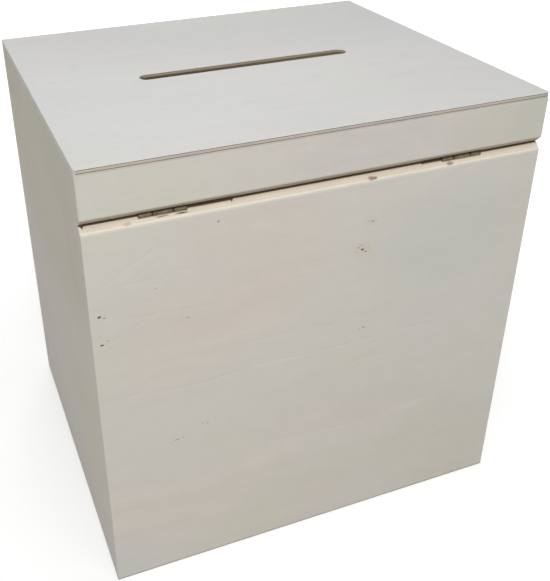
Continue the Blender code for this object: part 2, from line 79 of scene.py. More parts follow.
def keep_size(name, sizes):
    low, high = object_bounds()
    sizes[name] = [[round(value, 6) for value in low], [round(value, 6) for value in high]]


SIZES = {}
keep_size("cad", SIZES)

# Places read from the frame
PANEL_LOW, PANEL_HIGH = corners("top_panel")
REAR_LOW, REAR_HIGH = corners("rear_wall")
RAIL_LOW, RAIL_HIGH = corners("rear_rail")
FLOOR_PANEL_LOW, FLOOR_PANEL_HIGH = corners("bottom_panel")
HALF_X = PANEL_HIGH.x
HALF_Y = PANEL_HIGH.y
BOX_TOP = PANEL_HIGH.z
WALL = REAR_HIGH.y - REAR_LOW.y
SEAM = (REAR_HIGH.z + RAIL_LOW.z) / 2
PANEL_JOINT = (PANEL_LOW.z + RAIL_HIGH.z) / 2
HINGES = ("right", "left")


def outer_levels(node):
    """Levels of the points on a rear piece's outer face, which ends where its bevel begins."""
    return [point.z for point in cad_points(node) if point.y > HALF_Y - 0.01 * MM]


BEVELS = {BELOW: REAR_HIGH.z - max(outer_levels("rear_wall")),
          ABOVE: min(outer_levels("rear_rail")) - RAIL_LOW.z}

# Joints as close as a joiner makes them, and edges as sandpaper leaves them
GLUE_LINE = 0.02 * MM
SEAM_LINE = 0.12 * MM
TIGHT_SEAM_LINE = 0.03 * MM
ARRIS_RADIUS = 0.9 * MM
SANDED_EDGE = 0.35 * MM
FOOT_EDGE = 0.56 * MM
INNER_ROUND = 0.5 * MM
# Where a bevel meets the outer face: width and steps of the rounding
GROOVE_ROUNDS = {BELOW: (1.1 * MM, 5), ABOVE: (0.55 * MM, 4)}
# What a cutting shape reaches past the wood
BEYOND = 5 * MM


# Shader graphs

def operator(operation, swapped=False):
    """An operator between fields, which adds a math node."""
    def operate(self, other=0.0):
        pair = (other, self) if swapped else (self, other)
        return self.graph.calculate(operation, *pair)
    return operate


class Field:
    """A number or colour that varies over a surface, written with ordinary operators."""

    def __init__(self, graph, socket):
        self.graph = graph
        self.socket = socket

    __add__ = __radd__ = operator("ADD")
    __mul__ = __rmul__ = operator("MULTIPLY")
    __sub__ = operator("SUBTRACT")
    __rsub__ = operator("SUBTRACT", swapped=True)
    __truediv__ = operator("DIVIDE")
    __pow__ = operator("POWER")
    __abs__ = operator("ABSOLUTE")

    def step(self, low, high):
        """0 below low and 1 above high, smooth between them."""
        values = {"Value": self, "From Min": low, "From Max": high}
        return self.graph.node("ShaderNodeMapRange", {"interpolation_type": "SMOOTHSTEP"}, values)

    def fall(self, low, high):
        """1 below low and 0 above high."""
        return 1.0 - self.step(low, high)

    def band(self, low, full, fading, high):
        """1 from full to fading, and 0 below low and above high."""
        return self.step(low, full) * self.fall(fading, high)

    def ridge(self, half_width):
        """1 where the field is 0, and 0 from this distance on, to either side."""
        return abs(self).fall(0.0, half_width)


def oval(place, middle, halves, ragged):
    """1 inside an oval and 0 outside, soft or ragged at its edge."""
    first, second = [((a - b) / half) ** 2.0 for a, b, half in zip(place, middle, halves)]
    return (first + second + ragged).fall(0.1, 1.0)


class Graph:
    """The node tree of a material or of the world, emptied first."""

    def __init__(self, owner):
        self.owner = owner
        owner.use_nodes = True
        self.tree = owner.node_tree
        self.tree.nodes.clear()

    def node(self, kind, settings=None, values=None, output=0):
        """Adds a node: its settings first, then a value or a link for each input that is named."""
        made = self.tree.nodes.new(kind)
        for setting, value in (settings or {}).items():
            setattr(made, setting, value)
        for key, value in (values or {}).items():
            if isinstance(value, Field):
                self.tree.links.new(value.socket, made.inputs[key])
            else:
                made.inputs[key].default_value = value
        return Field(self, made.outputs[output]) if made.outputs else None

    def calculate(self, operation, first, second=0.0):
        return self.node("ShaderNodeMath", {"operation": operation}, {0: first, 1: second})

    def object_millimetres(self):
        """X, Y and Z of the point on the object, in millimetres."""
        place = self.node("ShaderNodeTexCoord", output="Object")
        return [self.node("ShaderNodeSeparateXYZ", values={0: place}, output=axis) * 1000.0 for axis in "XYZ"]

    def noise(self, x, y, z, detail=2.0, roughness=0.5):
        """Soft noise from 0 to 1, whose features are about one unit across."""
        place = self.node("ShaderNodeCombineXYZ", values={"X": x, "Y": y, "Z": z})
        values = {"Vector": place, "Scale": 1.0, "Detail": detail, "Roughness": roughness}
        return self.node("ShaderNodeTexNoise", values=values)

    def mix(self, factor, first, second, blend="MIX"):
        values = {0: factor, 6: colour(first), 7: colour(second)}
        return self.node("ShaderNodeMix", {"data_type": "RGBA", "blend_type": blend}, values, output=2)

    def grey(self, value):
        return self.node("ShaderNodeCombineColor", values={0: value, 1: value, 2: value})

    def times(self, tone, value):
        """A colour made lighter or darker by a number."""
        return self.mix(1.0, tone, self.grey(value), "MULTIPLY")

    def bump(self, height, strength, distance):
        values = {"Height": height, "Strength": strength, "Distance": distance}
        return self.node("ShaderNodeBump", values=values)

    def principled(self, **inputs):
        """Ends the graph in a Principled BSDF; the inputs' names are written with _ for a space."""
        values = {key.replace("_", " "): value for key, value in inputs.items()}
        shader = self.node("ShaderNodeBsdfPrincipled", values=values)
        self.node("ShaderNodeOutputMaterial", values={"Surface": shader})
        return self.owner

    def metal(self, surface, roughness, relief, strength, depth, metallic=1.0):
        """Ends the graph as metal, whose fine relief is this deep in millimetres."""
        return self.principled(Base_Color=surface, Metallic=metallic, Roughness=roughness,
                               Normal=self.bump(relief, strength, depth * MM))


def colour(value):
    """A colour given as three numbers gets its alpha; a field stays as it is."""
    if isinstance(value, tuple) and len(value) == 3:
        return (*value, 1.0)
    return value


# Plywood. Distances are in millimetres here; plies are given by the depths of their glue lines.

WALL_PLIES = (1.4, 3.9, 6.1, 8.6)
TOP_PLIES = (0.55, 2.34)
BOTTOM_PLIES = (0.9, 3.1)
# How a cut edge looks: outer plies, core plies, glue and how much the glue shows
FRESH_CUT = ((0.665, 0.615, 0.515), (0.665, 0.575, 0.47), (0.15, 0.105, 0.075), 0.12)
# The rails' cut edges, which mostly face down, take a darker copy of the fresh cut's colours: painted shade.
SHADED_RAIL_CUT = ((0.40, 0.355, 0.28), (0.355, 0.29, 0.22), (0.15, 0.105, 0.075), 0.12)
TOP_CUT = ((0.48, 0.435, 0.39), (0.455, 0.395, 0.345), (0.11, 0.08, 0.058), 1.0)


def veneer(graph, along, across, depth, seed, tones, figure):
    """Bare veneer: its colour, its relief and its fibres."""
    def noise(along_scale, across_scale, shift, detail, roughness=0.5):
        """Noise round 0, stretched along the grain."""
        return graph.noise(along * along_scale + seed, across * across_scale + shift, depth * 0.3,
                           detail, roughness) - 0.5

    warm, cool, green = tones
    hue = noise(0.006, 0.010, 11.0, 2.0)
    other_hue = noise(0.008, 0.013, 37.0, 1.0)
    face = graph.mix(hue.step(-0.14, 0.14), cool, warm)
    face = graph.mix(other_hue.step(0.0, 0.22), face, green)

    cloud = noise(0.011, 0.022, 3.0, 2.0)
    mottle = noise(0.055, 0.085, 29.0, 3.0, 0.6)
    streak = noise(0.012, 0.16, 5.0, 3.0, 0.6)
    fibre = noise(0.05, 1.7, 7.0, 3.0, 0.65)
    fleck = noise(0.16, 0.75, 53.0, 2.0, 0.6)
    sway = (noise(0.007, 0.013, 17.0, 3.0, 0.55) + 0.5) * 75.0
    rings = graph.calculate("SINE", (across + sway) * 0.33)
    growth = (rings ** 5.0) * (hue + mottle * 0.3).step(-0.08, 0.16) * figure
    dash = noise(0.32, 3.4, 23.0, 1.0).step(0.16, 0.24)
    dot = noise(0.75, 1.3, 41.0, 1.0).step(0.245, 0.30) * cloud.step(0.02, 0.12)
    shade = cloud * 0.06 + mottle * 0.065 + streak * 0.05 + fibre * 0.05 + fleck * 0.07
    shade = shade - growth * 0.022 - dash * 0.045 - dot * 0.16
    relief = fibre * 0.5 - dash * 0.7 + growth * 0.5 - dot
    return graph.times(face, shade + 1.0), relief, fibre


def cut_plies(graph, x, y, z, depth, total, plies, look):
    """The plies as they show where a panel is cut: how far this is such a cut, colour and relief."""
    light, core, glue_tone, glue = look
    at_cut = depth.band(0.30, 0.55, total - 0.15, total - 0.03)
    cross = 0.0
    glue_line = 0.0
    for number, boundary in enumerate(plies):
        sign = 1.0 if number % 2 == 0 else -1.0
        cross = depth.step(boundary - 0.05, boundary + 0.05) * sign + cross
        glue_line = abs(depth - boundary).fall(0.08, 0.32) + glue_line
    grit = graph.noise(x * 1.3, y * 1.3, z * 1.3, 4.0, 0.7) - 0.5
    comb = graph.noise(x * 0.25, y * 1.2, z * 1.2, 3.0) - 0.5
    patch = graph.noise(x * 0.06, y * 0.3, z * 0.3) - 0.5
    light_ply = graph.times(light, comb * 0.16 + patch * 0.15 + 1.0)
    core_ply = graph.times(core, grit * 0.34 + patch * 0.25 + 1.0)
    edge = graph.mix(cross, light_ply, core_ply)
    edge = graph.mix(glue_line * (patch * 0.6 + 0.95) * glue, edge, glue_tone)
    return at_cut, edge, grit * 0.9 - glue_line * 0.6


class Plywood:
    """A plywood panel in the making. axes names its grain, across and thickness directions, and inward
    is the way from its outer face to its inner one, so depth tells its faces from its cut edges.
    """

    def __init__(self, name, axes, outer, inward, thickness, plies, seed, tones, look=FRESH_CUT, figure=1.0):
        graph = self.graph = Graph(bpy.data.materials.new(name))
        x, y, z = self.x, self.y, self.z = graph.object_millimetres()
        place = {"X": x, "Y": y, "Z": z}
        self.plane = (place[axes[0]], place[axes[1]])
        self.depth = (place[axes[2]] - outer / MM) * inward
        face, relief, self.fibre = veneer(graph, *self.plane, self.depth, seed, tones, figure)
        self.at_cut, edge, edge_relief = cut_plies(graph, x, y, z, self.depth, thickness / MM, plies, look)
        self.on_face = 1.0 - self.at_cut
        self.surface = graph.mix(self.at_cut, face, edge)
        self.relief = relief * self.on_face + edge_relief * self.at_cut
        self.ragged = graph.noise(x * 0.7, y * 0.9, z * 0.9, 4.0, 0.65) - 0.5

    def tint(self, mask, tone):
        self.surface = self.graph.mix(mask, self.surface, tone)

    def shade(self, mask, amount):
        """Makes it darker by this share where the mask is 1."""
        self.surface = self.graph.times(self.surface, 1.0 - mask * amount)

    def multiply_tone(self, mask, tone):
        """Multiplies the colour by a tone where the mask is 1."""
        self.tint(mask, self.graph.mix(1.0, self.surface, tone, "MULTIPLY"))

    def knot(self, middle, halves, strength):
        """A small dark mark on the outer face, with a ragged edge and a pit."""
        mask = oval(self.plane, middle, halves, self.ragged * 1.6)
        mask = mask * self.on_face * self.depth.fall(1.0, 2.0) * strength
        self.tint(mask, (0.075, 0.06, 0.04))
        self.relief = self.relief - mask * 1.5

    def patch(self, middle, halves, tone):
        """A large soft patch on the outer face, whose colour is multiplied by a tone: a change of tone, or
        painted shade.
        """
        self.multiply_tone(oval(self.plane, middle, halves, self.ragged * 0.25) * self.on_face, tone)

    def finish(self, slot="plywood"):
        normal = self.graph.bump(self.relief, 0.4, 0.12 * MM)
        return slot, self.graph.principled(Base_Color=self.surface, Roughness=self.fibre * 0.15 + 0.68,
                                           Normal=normal, Specular_IOR_Level=0.3)


# Metals. A finish is a slot with its material.

def aged_brass():
    """Brass gone brown-green and rubbed brighter in patches, with dirt and painted shade where the knuckles
    meet, and painted shade above the pin.
    """
    graph = Graph(bpy.data.materials.new("aged_brass"))
    x, y, z = graph.object_millimetres()
    patches = graph.noise(x * 0.22, y * 0.6, z * 0.6, 4.0, 0.6)
    speckle = graph.noise(x * 4.0, y * 4.0, z * 4.0, 3.0, 0.7)
    rubbed = (patches + (speckle - 0.5) * 0.22).step(0.36, 0.70)
    surface = graph.mix(rubbed, (0.14, 0.112, 0.064), (0.32, 0.265, 0.155))
    # Painted shade: the brass above the pin is darkened, standing for the dark lid bevel that the barrel
    # reflects.
    painted_shade_over_pin = (z - SEAM / MM).step(-0.7, 0.9) * y.step(0.0, 1.0)
    surface = graph.mix(painted_shade_over_pin * 0.7, surface, (0.06, 0.046, 0.024))
    # Dirt and painted shade: a dark band where the knuckles meet.
    joint = (MIDDLE_KNUCKLE + KNUCKLE_GAP) / 2 / MM
    darkening = 0.0
    for side in HINGES:
        low, high = corners(f"{side}_hinge_pin")
        darkening = (abs(x - (low.x + high.x) / 2 / MM) - joint).ridge(1.1) + darkening
    surface = graph.mix(darkening * (speckle * 0.6 + 0.7), surface, (0.030, 0.024, 0.014))
    roughness = 0.60 - rubbed * 0.18 + (speckle - 0.5) * 0.15
    return "aged_brass", graph.metal(surface, roughness, speckle, 0.3, 0.05, metallic=0.85)


def nickel_plate():
    """Polished nickel with fine handling scratches and a faint yellow cast."""
    graph = Graph(bpy.data.materials.new("nickel_plate"))
    x, y, z = graph.object_millimetres()
    clouds = graph.noise(x * 0.25, y * 0.25, z * 0.25, 3.0)
    scratches = graph.noise(x * 0.8 + z * 5.0, y * 6.0, z * 0.9 - x * 5.0, 3.0, 0.7)
    roughness = clouds * 0.10 + scratches.step(0.60, 0.72) * 0.12 + 0.17
    surface = graph.mix(clouds, (0.60, 0.58, 0.54), (0.70, 0.68, 0.64))
    return "nickel", graph.metal(surface, roughness, scratches, 0.08, 0.03)


def zinc_plate():
    """Satin zinc plating over pressed steel."""
    graph = Graph(bpy.data.materials.new("zinc_plate"))
    x, y, z = graph.object_millimetres()
    clouds = graph.noise(x * 0.4, y * 0.4, z * 0.4, 4.0, 0.6)
    grain = graph.noise(x * 5.0, y * 5.0, z * 0.8)
    surface = graph.mix(clouds, (0.47, 0.47, 0.46), (0.60, 0.60, 0.58))
    roughness = clouds * 0.14 + grain * 0.10 + 0.26
    return "zinc_steel", graph.metal(surface, roughness, grain, 0.12, 0.03)


# Shapes. Each starts from a bmesh operator or a few vertices and is closed.

def side_axes(axis):
    return [other for other in range(3) if other != axis]


def axis_vector(axis, length):
    way = Vector()
    way[axis] = length
    return way


def tidy(bm):
    bmesh.ops.remove_doubles(bm, verts=bm.verts, dist=0.0005 * MM)
    bmesh.ops.recalc_face_normals(bm, faces=bm.faces)
    return bm


def prism(outline, start, end, axis):
    """An outline in the two other axes, in X, Y, Z order, drawn out along this axis."""
    bm = bmesh.new()
    first, second = side_axes(axis)
    rim = []
    for a, b in outline:
        rim.append(bm.verts.new(axis_vector(first, a) + axis_vector(second, b) + axis_vector(axis, start)))
    grown = bmesh.ops.extrude_face_region(bm, geom=[bm.faces.new(rim)])
    moved = [item for item in grown["geom"] if isinstance(item, bmesh.types.BMVert)]
    bmesh.ops.translate(bm, vec=axis_vector(axis, end - start), verts=moved)
    return tidy(bm)


def block(first, second):
    """A box between any two opposite corners."""
    bm = bmesh.new()
    bmesh.ops.create_cube(bm, size=1.0)
    bmesh.ops.scale(bm, vec=[abs(b - a) for a, b in zip(first, second)], verts=bm.verts)
    bmesh.ops.translate(bm, vec=[(a + b) / 2 for a, b in zip(first, second)], verts=bm.verts)
    return bm


def turned(profile, centre, axis, segments):
    """(radius, height) pairs turned round an axis through the centre; heights are places on the axis."""
    bm = bmesh.new()
    first = side_axes(axis)[0]
    line = []
    for radius, height in profile:
        point = list(centre)
        point[first] += radius
        point[axis] = height
        line.append(bm.verts.new(point))
    edges = [bm.edges.new(pair) for pair in zip(line, line[1:])]
    bmesh.ops.spin(bm, geom=line + edges, cent=centre, axis=axis_vector(axis, 1.0), angle=math.tau,
                   steps=segments, use_merge=True, use_duplicate=False)
    return tidy(bm)


def rod(radius, start, end, centre, axis, segments):
    """A plain round rod, to drill with."""
    return turned([(0.0, start), (radius, start), (radius, end), (0.0, end)], centre, axis, segments)


def thread(core, crest, start, pitch, end):
    """The rings that stand for a thread, as a profile from start to end, and where the next would be."""
    profile = []
    level = start
    while (end - level) * pitch > 0.0:
        profile += [(core, level), (crest, level + pitch / 2)]
        level += pitch
    return profile, level


def arc(centre, radius, start, end, steps):
    turns = [start + (end - start) * step / steps for step in range(steps + 1)]
    return [(centre[0] + radius * math.cos(a), centre[1] + radius * math.sin(a)) for a in turns]


def rounded_rectangle(half_x, half_y, radius):
    outline = []
    for quarter, (side_x, side_y) in enumerate(((1, 1), (-1, 1), (-1, -1), (1, -1))):
        centre = (side_x * (half_x - radius), side_y * (half_y - radius))
        start = quarter * math.pi / 2
        outline += arc(centre, radius, start, start + math.pi / 2, 8)
    return outline


def slot_outline(centre, length, width, steps=16):
    reach = (length - width) / 2
    right = arc((centre[0] + reach, centre[1]), width / 2, -math.pi / 2, math.pi / 2, steps)
    left = arc((centre[0] - reach, centre[1]), width / 2, math.pi / 2, math.pi * 3 / 2, steps)
    return right + left


def cut_off(bm, point, normal):
    """Cuts away what lies beyond a plane and closes the cut; returns the cut's edges."""
    cut = bmesh.ops.bisect_plane(bm, geom=list(bm.verts) + list(bm.edges) + list(bm.faces), dist=1e-7,
                                 plane_co=point, plane_no=normal, clear_outer=True)
    edges = [item for item in cut["geom_cut"] if isinstance(item, bmesh.types.BMEdge)]
    bmesh.ops.holes_fill(bm, edges=edges, sides=0)
    return edges


def soften(bm, edges, width, segments=3):
    """Rounds edges over by this width."""
    bmesh.ops.bevel(bm, geom=edges, offset=width, offset_type="OFFSET", segments=segments, profile=0.5,
                    affect="EDGES", clamp_overlap=True, material=-1)


def sharp_edges(bm, test=None, angle=math.radians(40)):
    """Edges whose faces meet at more than this angle and whose ends both pass the test."""
    found = []
    for edge in bm.edges:
        if len(edge.link_faces) != 2 or edge.calc_face_angle() < angle:
            continue
        if test is None or all(test(vert.co) for vert in edge.verts):
            found.append(edge)
    return found


def placed(name, data):
    """A new object in the scene."""
    holder = bpy.data.objects.new(name, data)
    bpy.context.scene.collection.objects.link(holder)
    return holder


def mesh_of(bm, name):
    mesh = bpy.data.meshes.new(name)
    bm.to_mesh(mesh)
    bm.free()
    return mesh


def combined(bm, tool, operation):
    """The first shape cut by the second, joined to it or kept only inside it. Both must be closed."""
    target = placed("target", mesh_of(bm, "target"))
    cutter = placed("cutter", mesh_of(tool, "cutter"))
    step = target.modifiers.new("combine", "BOOLEAN")
    step.operation = operation
    step.solver = "EXACT"
    step.object = cutter
    bpy.context.view_layer.update()
    evaluated = target.evaluated_get(bpy.context.evaluated_depsgraph_get())
    result = bmesh.new()
    result.from_mesh(evaluated.to_mesh())
    evaluated.to_mesh_clear()
    for holder in (target, cutter):
        mesh = holder.data
        bpy.data.objects.remove(holder)
        bpy.data.meshes.remove(mesh)
    return result


def cut_by(bm, *tools):
    for tool in tools:
        bm = combined(bm, tool, "DIFFERENCE")
    return bm


def joined_to(bm, tool):
    return combined(bm, tool, "UNION")


def show(bm, node, finish, body, sharp=math.radians(35)):
    """Makes the finished piece that stands for a CAD node and rides on its body."""
    slot, material = finish
    bmesh.ops.remove_doubles(bm, verts=bm.verts, dist=0.0005 * MM)
    mesh = mesh_of(bm, node + "_detail")
    mesh.shade_smooth()
    mesh.set_sharp_from_angle(angle=sharp)
    mesh.materials.append(material)
    piece = placed(node + "_detail", mesh)
    piece.modifiers.new("even_normals", "WEIGHTED_NORMAL").keep_sharp = True
    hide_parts(node)
    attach(piece, body)


# Woodwork

TURNS = {"front": 0.0, "right": math.pi / 2, "rear": math.pi, "left": -math.pi / 2}


def outward(side):
    """The way a side of the box faces."""
    return Vector((0.0, -1.0, 0.0)) @ Matrix.Rotation(-TURNS[side], 3, "Z")


def mitred_board(side, bottom, top):
    """A board along one side of the box, between two levels, with mitred ends and sharp edges."""
    facing = outward(side)
    half_out = abs(facing.x) * HALF_X + abs(facing.y) * HALF_Y
    half_along = abs(facing.y) * HALF_X + abs(facing.x) * HALF_Y
    board = block((-half_along, -half_out, bottom), (half_along, -half_out + WALL, top))
    for end in (-1, 1):
        tip = Vector((end * (half_along - GLUE_LINE / 2), -half_out, bottom))
        cut_off(board, tip, Vector((end, 1.0, 0.0)).normalized())
    bmesh.ops.rotate(board, cent=(0, 0, 0), matrix=Matrix.Rotation(TURNS[side], 3, "Z"), verts=board.verts)
    return board


def bevel_rear_edge(board, level, way):
    """Bevels the rear edge of a board; returns the bevel's edges on the outer face and at the seam."""
    normal = Vector((0.0, 1.0, -way)).normalized()
    rim = cut_off(board, Vector((0.0, HALF_Y - BEVELS[way], level)), normal)
    rim = [edge for edge in rim if edge.is_valid]
    outer_line = [e for e in rim if all(v.co.y > HALF_Y - 0.1 * MM for v in e.verts)]
    seam_line = [e for e in rim if all(abs(v.co.z - level) < 0.1 * MM for v in e.verts)]
    return outer_line, seam_line


def near(value, target, slack=0.01 * MM):
    return abs(value - target) < slack


def shaped_board(side, way):
    """A wall or a rail: bevelled at the rear, sanded at the foot and along the front and left seam."""
    def outer_edges(height):
        return sharp_edges(board, lambda p: near(p.z, height) and (
            near(abs(p.x), HALF_X, 0.05 * MM) or near(abs(p.y), HALF_Y, 0.05 * MM)))

    level = SEAM + way * (TIGHT_SEAM_LINE if side == "right" else SEAM_LINE) / 2
    other = PANEL_JOINT - GLUE_LINE / 2 if way == ABOVE else 0.0
    board = mitred_board(side, min(level, other), max(level, other))
    outer_line, seam_line = bevel_rear_edge(board, level, way)
    if side == "rear":
        soften(board, outer_line, *GROOVE_ROUNDS[way])
        soften(board, [edge for edge in seam_line if edge.is_valid], INNER_ROUND)
    if side in ("front", "left"):
        soften(board, outer_edges(level), SANDED_EDGE)
    if way == BELOW:
        soften(board, outer_edges(0.0), FOOT_EDGE)
    plan = prism(rounded_rectangle(HALF_X, HALF_Y, ARRIS_RADIUS), -4 * BEYOND, BOX_TOP + 4 * BEYOND, Z)
    return combined(board, plan, "INTERSECT")


def pin_place(side):
    """Y and Z of a hinge's pin."""
    low, high = corners(f"{side}_hinge_pin")
    return (low.y + high.y) / 2, (low.z + high.z) / 2


def hinge_pocket(side, way):
    """What is cut from the wood for one hinge leaf and the knuckles, above or below the seam."""
    pin_low, pin_high = corners(f"{side}_hinge_pin")
    leaf_low, leaf_high = corners(f"{side}_hinge_{'lid' if way == ABOVE else 'body'}_leaf")
    pin_y, pin_z = pin_place(side)
    knuckle = leaf_high.y - pin_y
    deep = pin_z + way * (LEAF_INNER + LEAF_THICKNESS + 0.15 * MM)
    round_deep = pin_z + way * (knuckle + 0.35 * MM)
    edge = pin_y - knuckle - 0.3 * MM
    outside = pin_z - way * BEYOND
    outline = [(leaf_low.y - LEAF_SLACK, outside), (leaf_low.y - LEAF_SLACK, deep), (edge, deep),
               (edge, round_deep), (HALF_Y + BEYOND, round_deep), (HALF_Y + BEYOND, outside)]
    return prism(outline, pin_low.x - 0.25 * MM, pin_high.x + 0.25 * MM, X)


# Along the rear, both sides of the seam are planed back, so a dark gap shows between body and lid. The
# mortises for the hinges run on towards the middle of the box: X from and to.
REBATES = {BELOW: 0.40 * MM, ABOVE: 1.10 * MM}
REBATE_END = 0.5 * MM
MORTISES = ((58.3 * MM, 112.2 * MM), (-102.2 * MM, -61.0 * MM))
MORTISE_EXTRA = 0.45 * MM
LEAF_SLACK = 0.2 * MM
# Nicks where the chisel slipped at the ends of the mortises and of the seam: X, half width and depth, in mm
NOTCHES = ((59.4, 1.1, 1.9), (-61.8, 0.8, 1.4), (142.0, 1.0, 1.7))


def cut_rebate(board, way):
    """Planes back the board's edge at the rear seam and cuts the mortises in it."""
    inner = corners("right_hinge_body_leaf")[0].y - LEAF_SLACK
    outside = HALF_Y + BEYOND
    floor = SEAM + way * REBATES[way]
    beyond = SEAM - way * MM
    board = cut_by(board, block((REBATE_END - HALF_X, inner, floor), (HALF_X - REBATE_END, outside, beyond)))
    for start, end in MORTISES:
        mortise = block((start, inner + MM, floor + way * MORTISE_EXTRA), (end, outside, beyond))
        board = cut_by(board, mortise)
    return board


def cut_notches(wall):
    for x, half_width, deep in NOTCHES:
        nick = [((x - half_width) * MM, SEAM), (x * MM, SEAM - deep * MM), ((x + half_width) * MM, SEAM)]
        wall = cut_by(wall, prism(nick, HALF_Y - 6 * MM, HALF_Y + BEYOND, Y))
    return wall


# Chips beside the right hinge: X, Y, Z, length, radius, turn in plan and lift, in millimetres and degrees
CHIPS = (
    (99.0, 121.95, 264.75, 4.0, 0.36, 6.0, 8.0),
    (96.2, 122.2, 264.5, 2.8, 0.30, -14.0, -6.0),
    (102.2, 121.8, 264.85, 3.2, 0.26, 12.0, 4.0),
    (91.0, 122.0, 264.75, 2.4, 0.26, -8.0, 10.0),
)


def splinter(x, y, z, length, radius, turn, lift):
    """A thin chip that stands off the bevel."""
    bm = bmesh.new()
    bmesh.ops.create_cone(bm, cap_ends=True, segments=5, radius1=radius * MM, radius2=radius * 0.1 * MM,
                          depth=length * MM)
    bmesh.ops.scale(bm, vec=(0.5, 1.0, 1.0), verts=bm.verts)
    turns = Matrix.Rotation(math.radians(lift), 3, "Y") @ Matrix.Rotation(math.radians(90), 3, "Y")
    turns = Matrix.Rotation(math.radians(turn), 3, "Z") @ turns
    bmesh.ops.rotate(bm, cent=(0, 0, 0), matrix=turns, verts=bm.verts)
    bmesh.ops.translate(bm, vec=(x * MM, y * MM, z * MM), verts=bm.verts)
    return bm


def build_walls(wood):
    """The four walls of the body, rebated for the bottom panel."""
    for side in TURNS:
        rebate = block(FLOOR_PANEL_LOW - Vector((0.1, 0.1, 10.0)) * MM,
                       FLOOR_PANEL_HIGH + Vector((0.1, 0.1, 0.1)) * MM)
        wall = cut_by(shaped_board(side, BELOW), rebate)
        if side == "front":
            radius = BARREL_RADIUS + 0.15 * MM
            wall = cut_by(wall, rod(radius, -HALF_Y - BEYOND, WALL - HALF_Y + BEYOND, LOCK_CENTRE, Y, 64))
        else:
            wall = cut_notches(cut_rebate(wall, BELOW))
        if side == "rear":
            wall = cut_by(wall, *[hinge_pocket(hinge, BELOW) for hinge in HINGES])
            for chip in CHIPS:
                wall = joined_to(wall, splinter(*chip))
        show(wall, side + "_wall", wood[side + "_wall"], "box")


def build_rails(wood):
    """The four rails of the lid."""
    for side in TURNS:
        rail = shaped_board(side, ABOVE)
        if side != "front":
            rail = cut_rebate(rail, ABOVE)
        if side == "rear":
            rail = cut_by(rail, *[hinge_pocket(hinge, ABOVE) for hinge in HINGES])
        show(rail, side + "_rail", wood[side + "_rail"], "lid")


def by_slot(point):
    """True near the middle of the top, where only the envelope slot has points."""
    return abs(point.x) < HALF_X - 20 * MM and abs(point.y) < HALF_Y - 20 * MM


def build_top_panel(wood):
    """The lid's top panel. Its envelope slot has the place and size of the CAD panel's own."""
    points = [point for point in cad_points("top_panel") if by_slot(point)]
    low_x, high_x = min(point.x for point in points), max(point.x for point in points)
    low_y, high_y = min(point.y for point in points), max(point.y for point in points)
    slot = slot_outline(((low_x + high_x) / 2, (low_y + high_y) / 2), high_x - low_x, high_y - low_y)

    panel = prism(rounded_rectangle(HALF_X, HALF_Y, 2.0 * MM), PANEL_JOINT + GLUE_LINE / 2, BOX_TOP, Z)
    soften(panel, sharp_edges(panel, lambda p: near(p.z, BOX_TOP)), SANDED_EDGE * 0.8)
    panel = cut_by(panel, prism(slot, PANEL_JOINT - BEYOND, BOX_TOP + BEYOND, Z))
    soften(panel, sharp_edges(panel, lambda p: near(p.z, BOX_TOP) and by_slot(p)), SANDED_EDGE, 2)
    show(panel, "top_panel", wood, "lid")


def build_bottom_panel(wood):
    panel = block(FLOOR_PANEL_LOW - Vector((0.05, 0.05, 0.0)) * MM,
                  FLOOR_PANEL_HIGH + Vector((0.05, 0.05, 0.05)) * MM)
    soften(panel, sharp_edges(panel), 0.2 * MM, 2)
    show(panel, "bottom_panel", wood, "box")


# Hinges

LEAF_INNER = 0.2 * MM
LEAF_THICKNESS = 0.6 * MM
MIDDLE_KNUCKLE = 11.4 * MM
KNUCKLE_GAP = 0.3 * MM
PIN_RADIUS = 0.5 * MM


def knuckle(pin_y, pin_z, radius, start, end, root_y, way):
    """A rolled knuckle with the strip that joins it to its leaf, its ends slightly rounded."""
    low = math.asin(LEAF_INNER / radius)
    high = math.asin((LEAF_INNER + LEAF_THICKNESS) / radius)
    outline = [(root_y - pin_y, LEAF_INNER), (root_y - pin_y, LEAF_INNER + LEAF_THICKNESS)]
    outline += arc((0.0, 0.0), radius, math.pi - high, -math.pi - low, 40)
    shape = prism([(pin_y + y, pin_z + way * z) for y, z in outline], start, end, X)

    def on_roll_end(point):
        from_pin = math.hypot(point.y - pin_y, point.z - pin_z)
        return near(from_pin, radius) and (near(point.x, start) or near(point.x, end))

    soften(shape, sharp_edges(shape, on_roll_end), 0.12 * MM, 2)
    return shape


def build_leaf(side, node, way, brass, body):
    """A hinge leaf with its knuckles: the lid's has the middle one, the body's the two outer ones."""
    low, high = corners(node)
    pin_y, pin_z = pin_place(side)
    radius = high.y - pin_y
    edge = pin_y - radius - 0.4 * MM
    inner = pin_z + way * LEAF_INNER
    outer = pin_z + way * (LEAF_INNER + LEAF_THICKNESS)
    leaf = block((low.x, low.y, inner), (high.x, edge, outer))
    soften(leaf, sharp_edges(leaf), 0.08 * MM, 2)
    middle = (low.x + high.x) / 2
    half = MIDDLE_KNUCKLE / 2
    if way == ABOVE:
        spans = [(middle - half, middle + half)]
    else:
        spans = [(low.x, middle - half - KNUCKLE_GAP), (middle + half + KNUCKLE_GAP, high.x)]
    for start, end in spans:
        leaf = joined_to(leaf, knuckle(pin_y, pin_z, radius, start, end, edge - 0.4 * MM, way))
    bore = rod(PIN_RADIUS + 0.08 * MM, low.x - MM, high.x + MM, (0.0, pin_y, pin_z), X, 32)
    leaf = cut_by(leaf, bore)
    for number in (1, 2):
        screw_low, screw_high = corners(f"{node}_screw_{number}")
        centre = (screw_low + screw_high) / 2
        head = (screw_high.x - screw_low.x) / 2 + 0.06 * MM
        hole = [(0.0, outer + way * MM), (head * 0.5, outer + way * MM), (head * 0.5, outer - way * 0.1 * MM),
                (head, inner), (head, inner - way * MM), (0.0, inner - way * MM)]
        leaf = cut_by(leaf, turned(hole, (centre.x, centre.y, 0.0), Z, 32))
    show(leaf, node, brass, body)


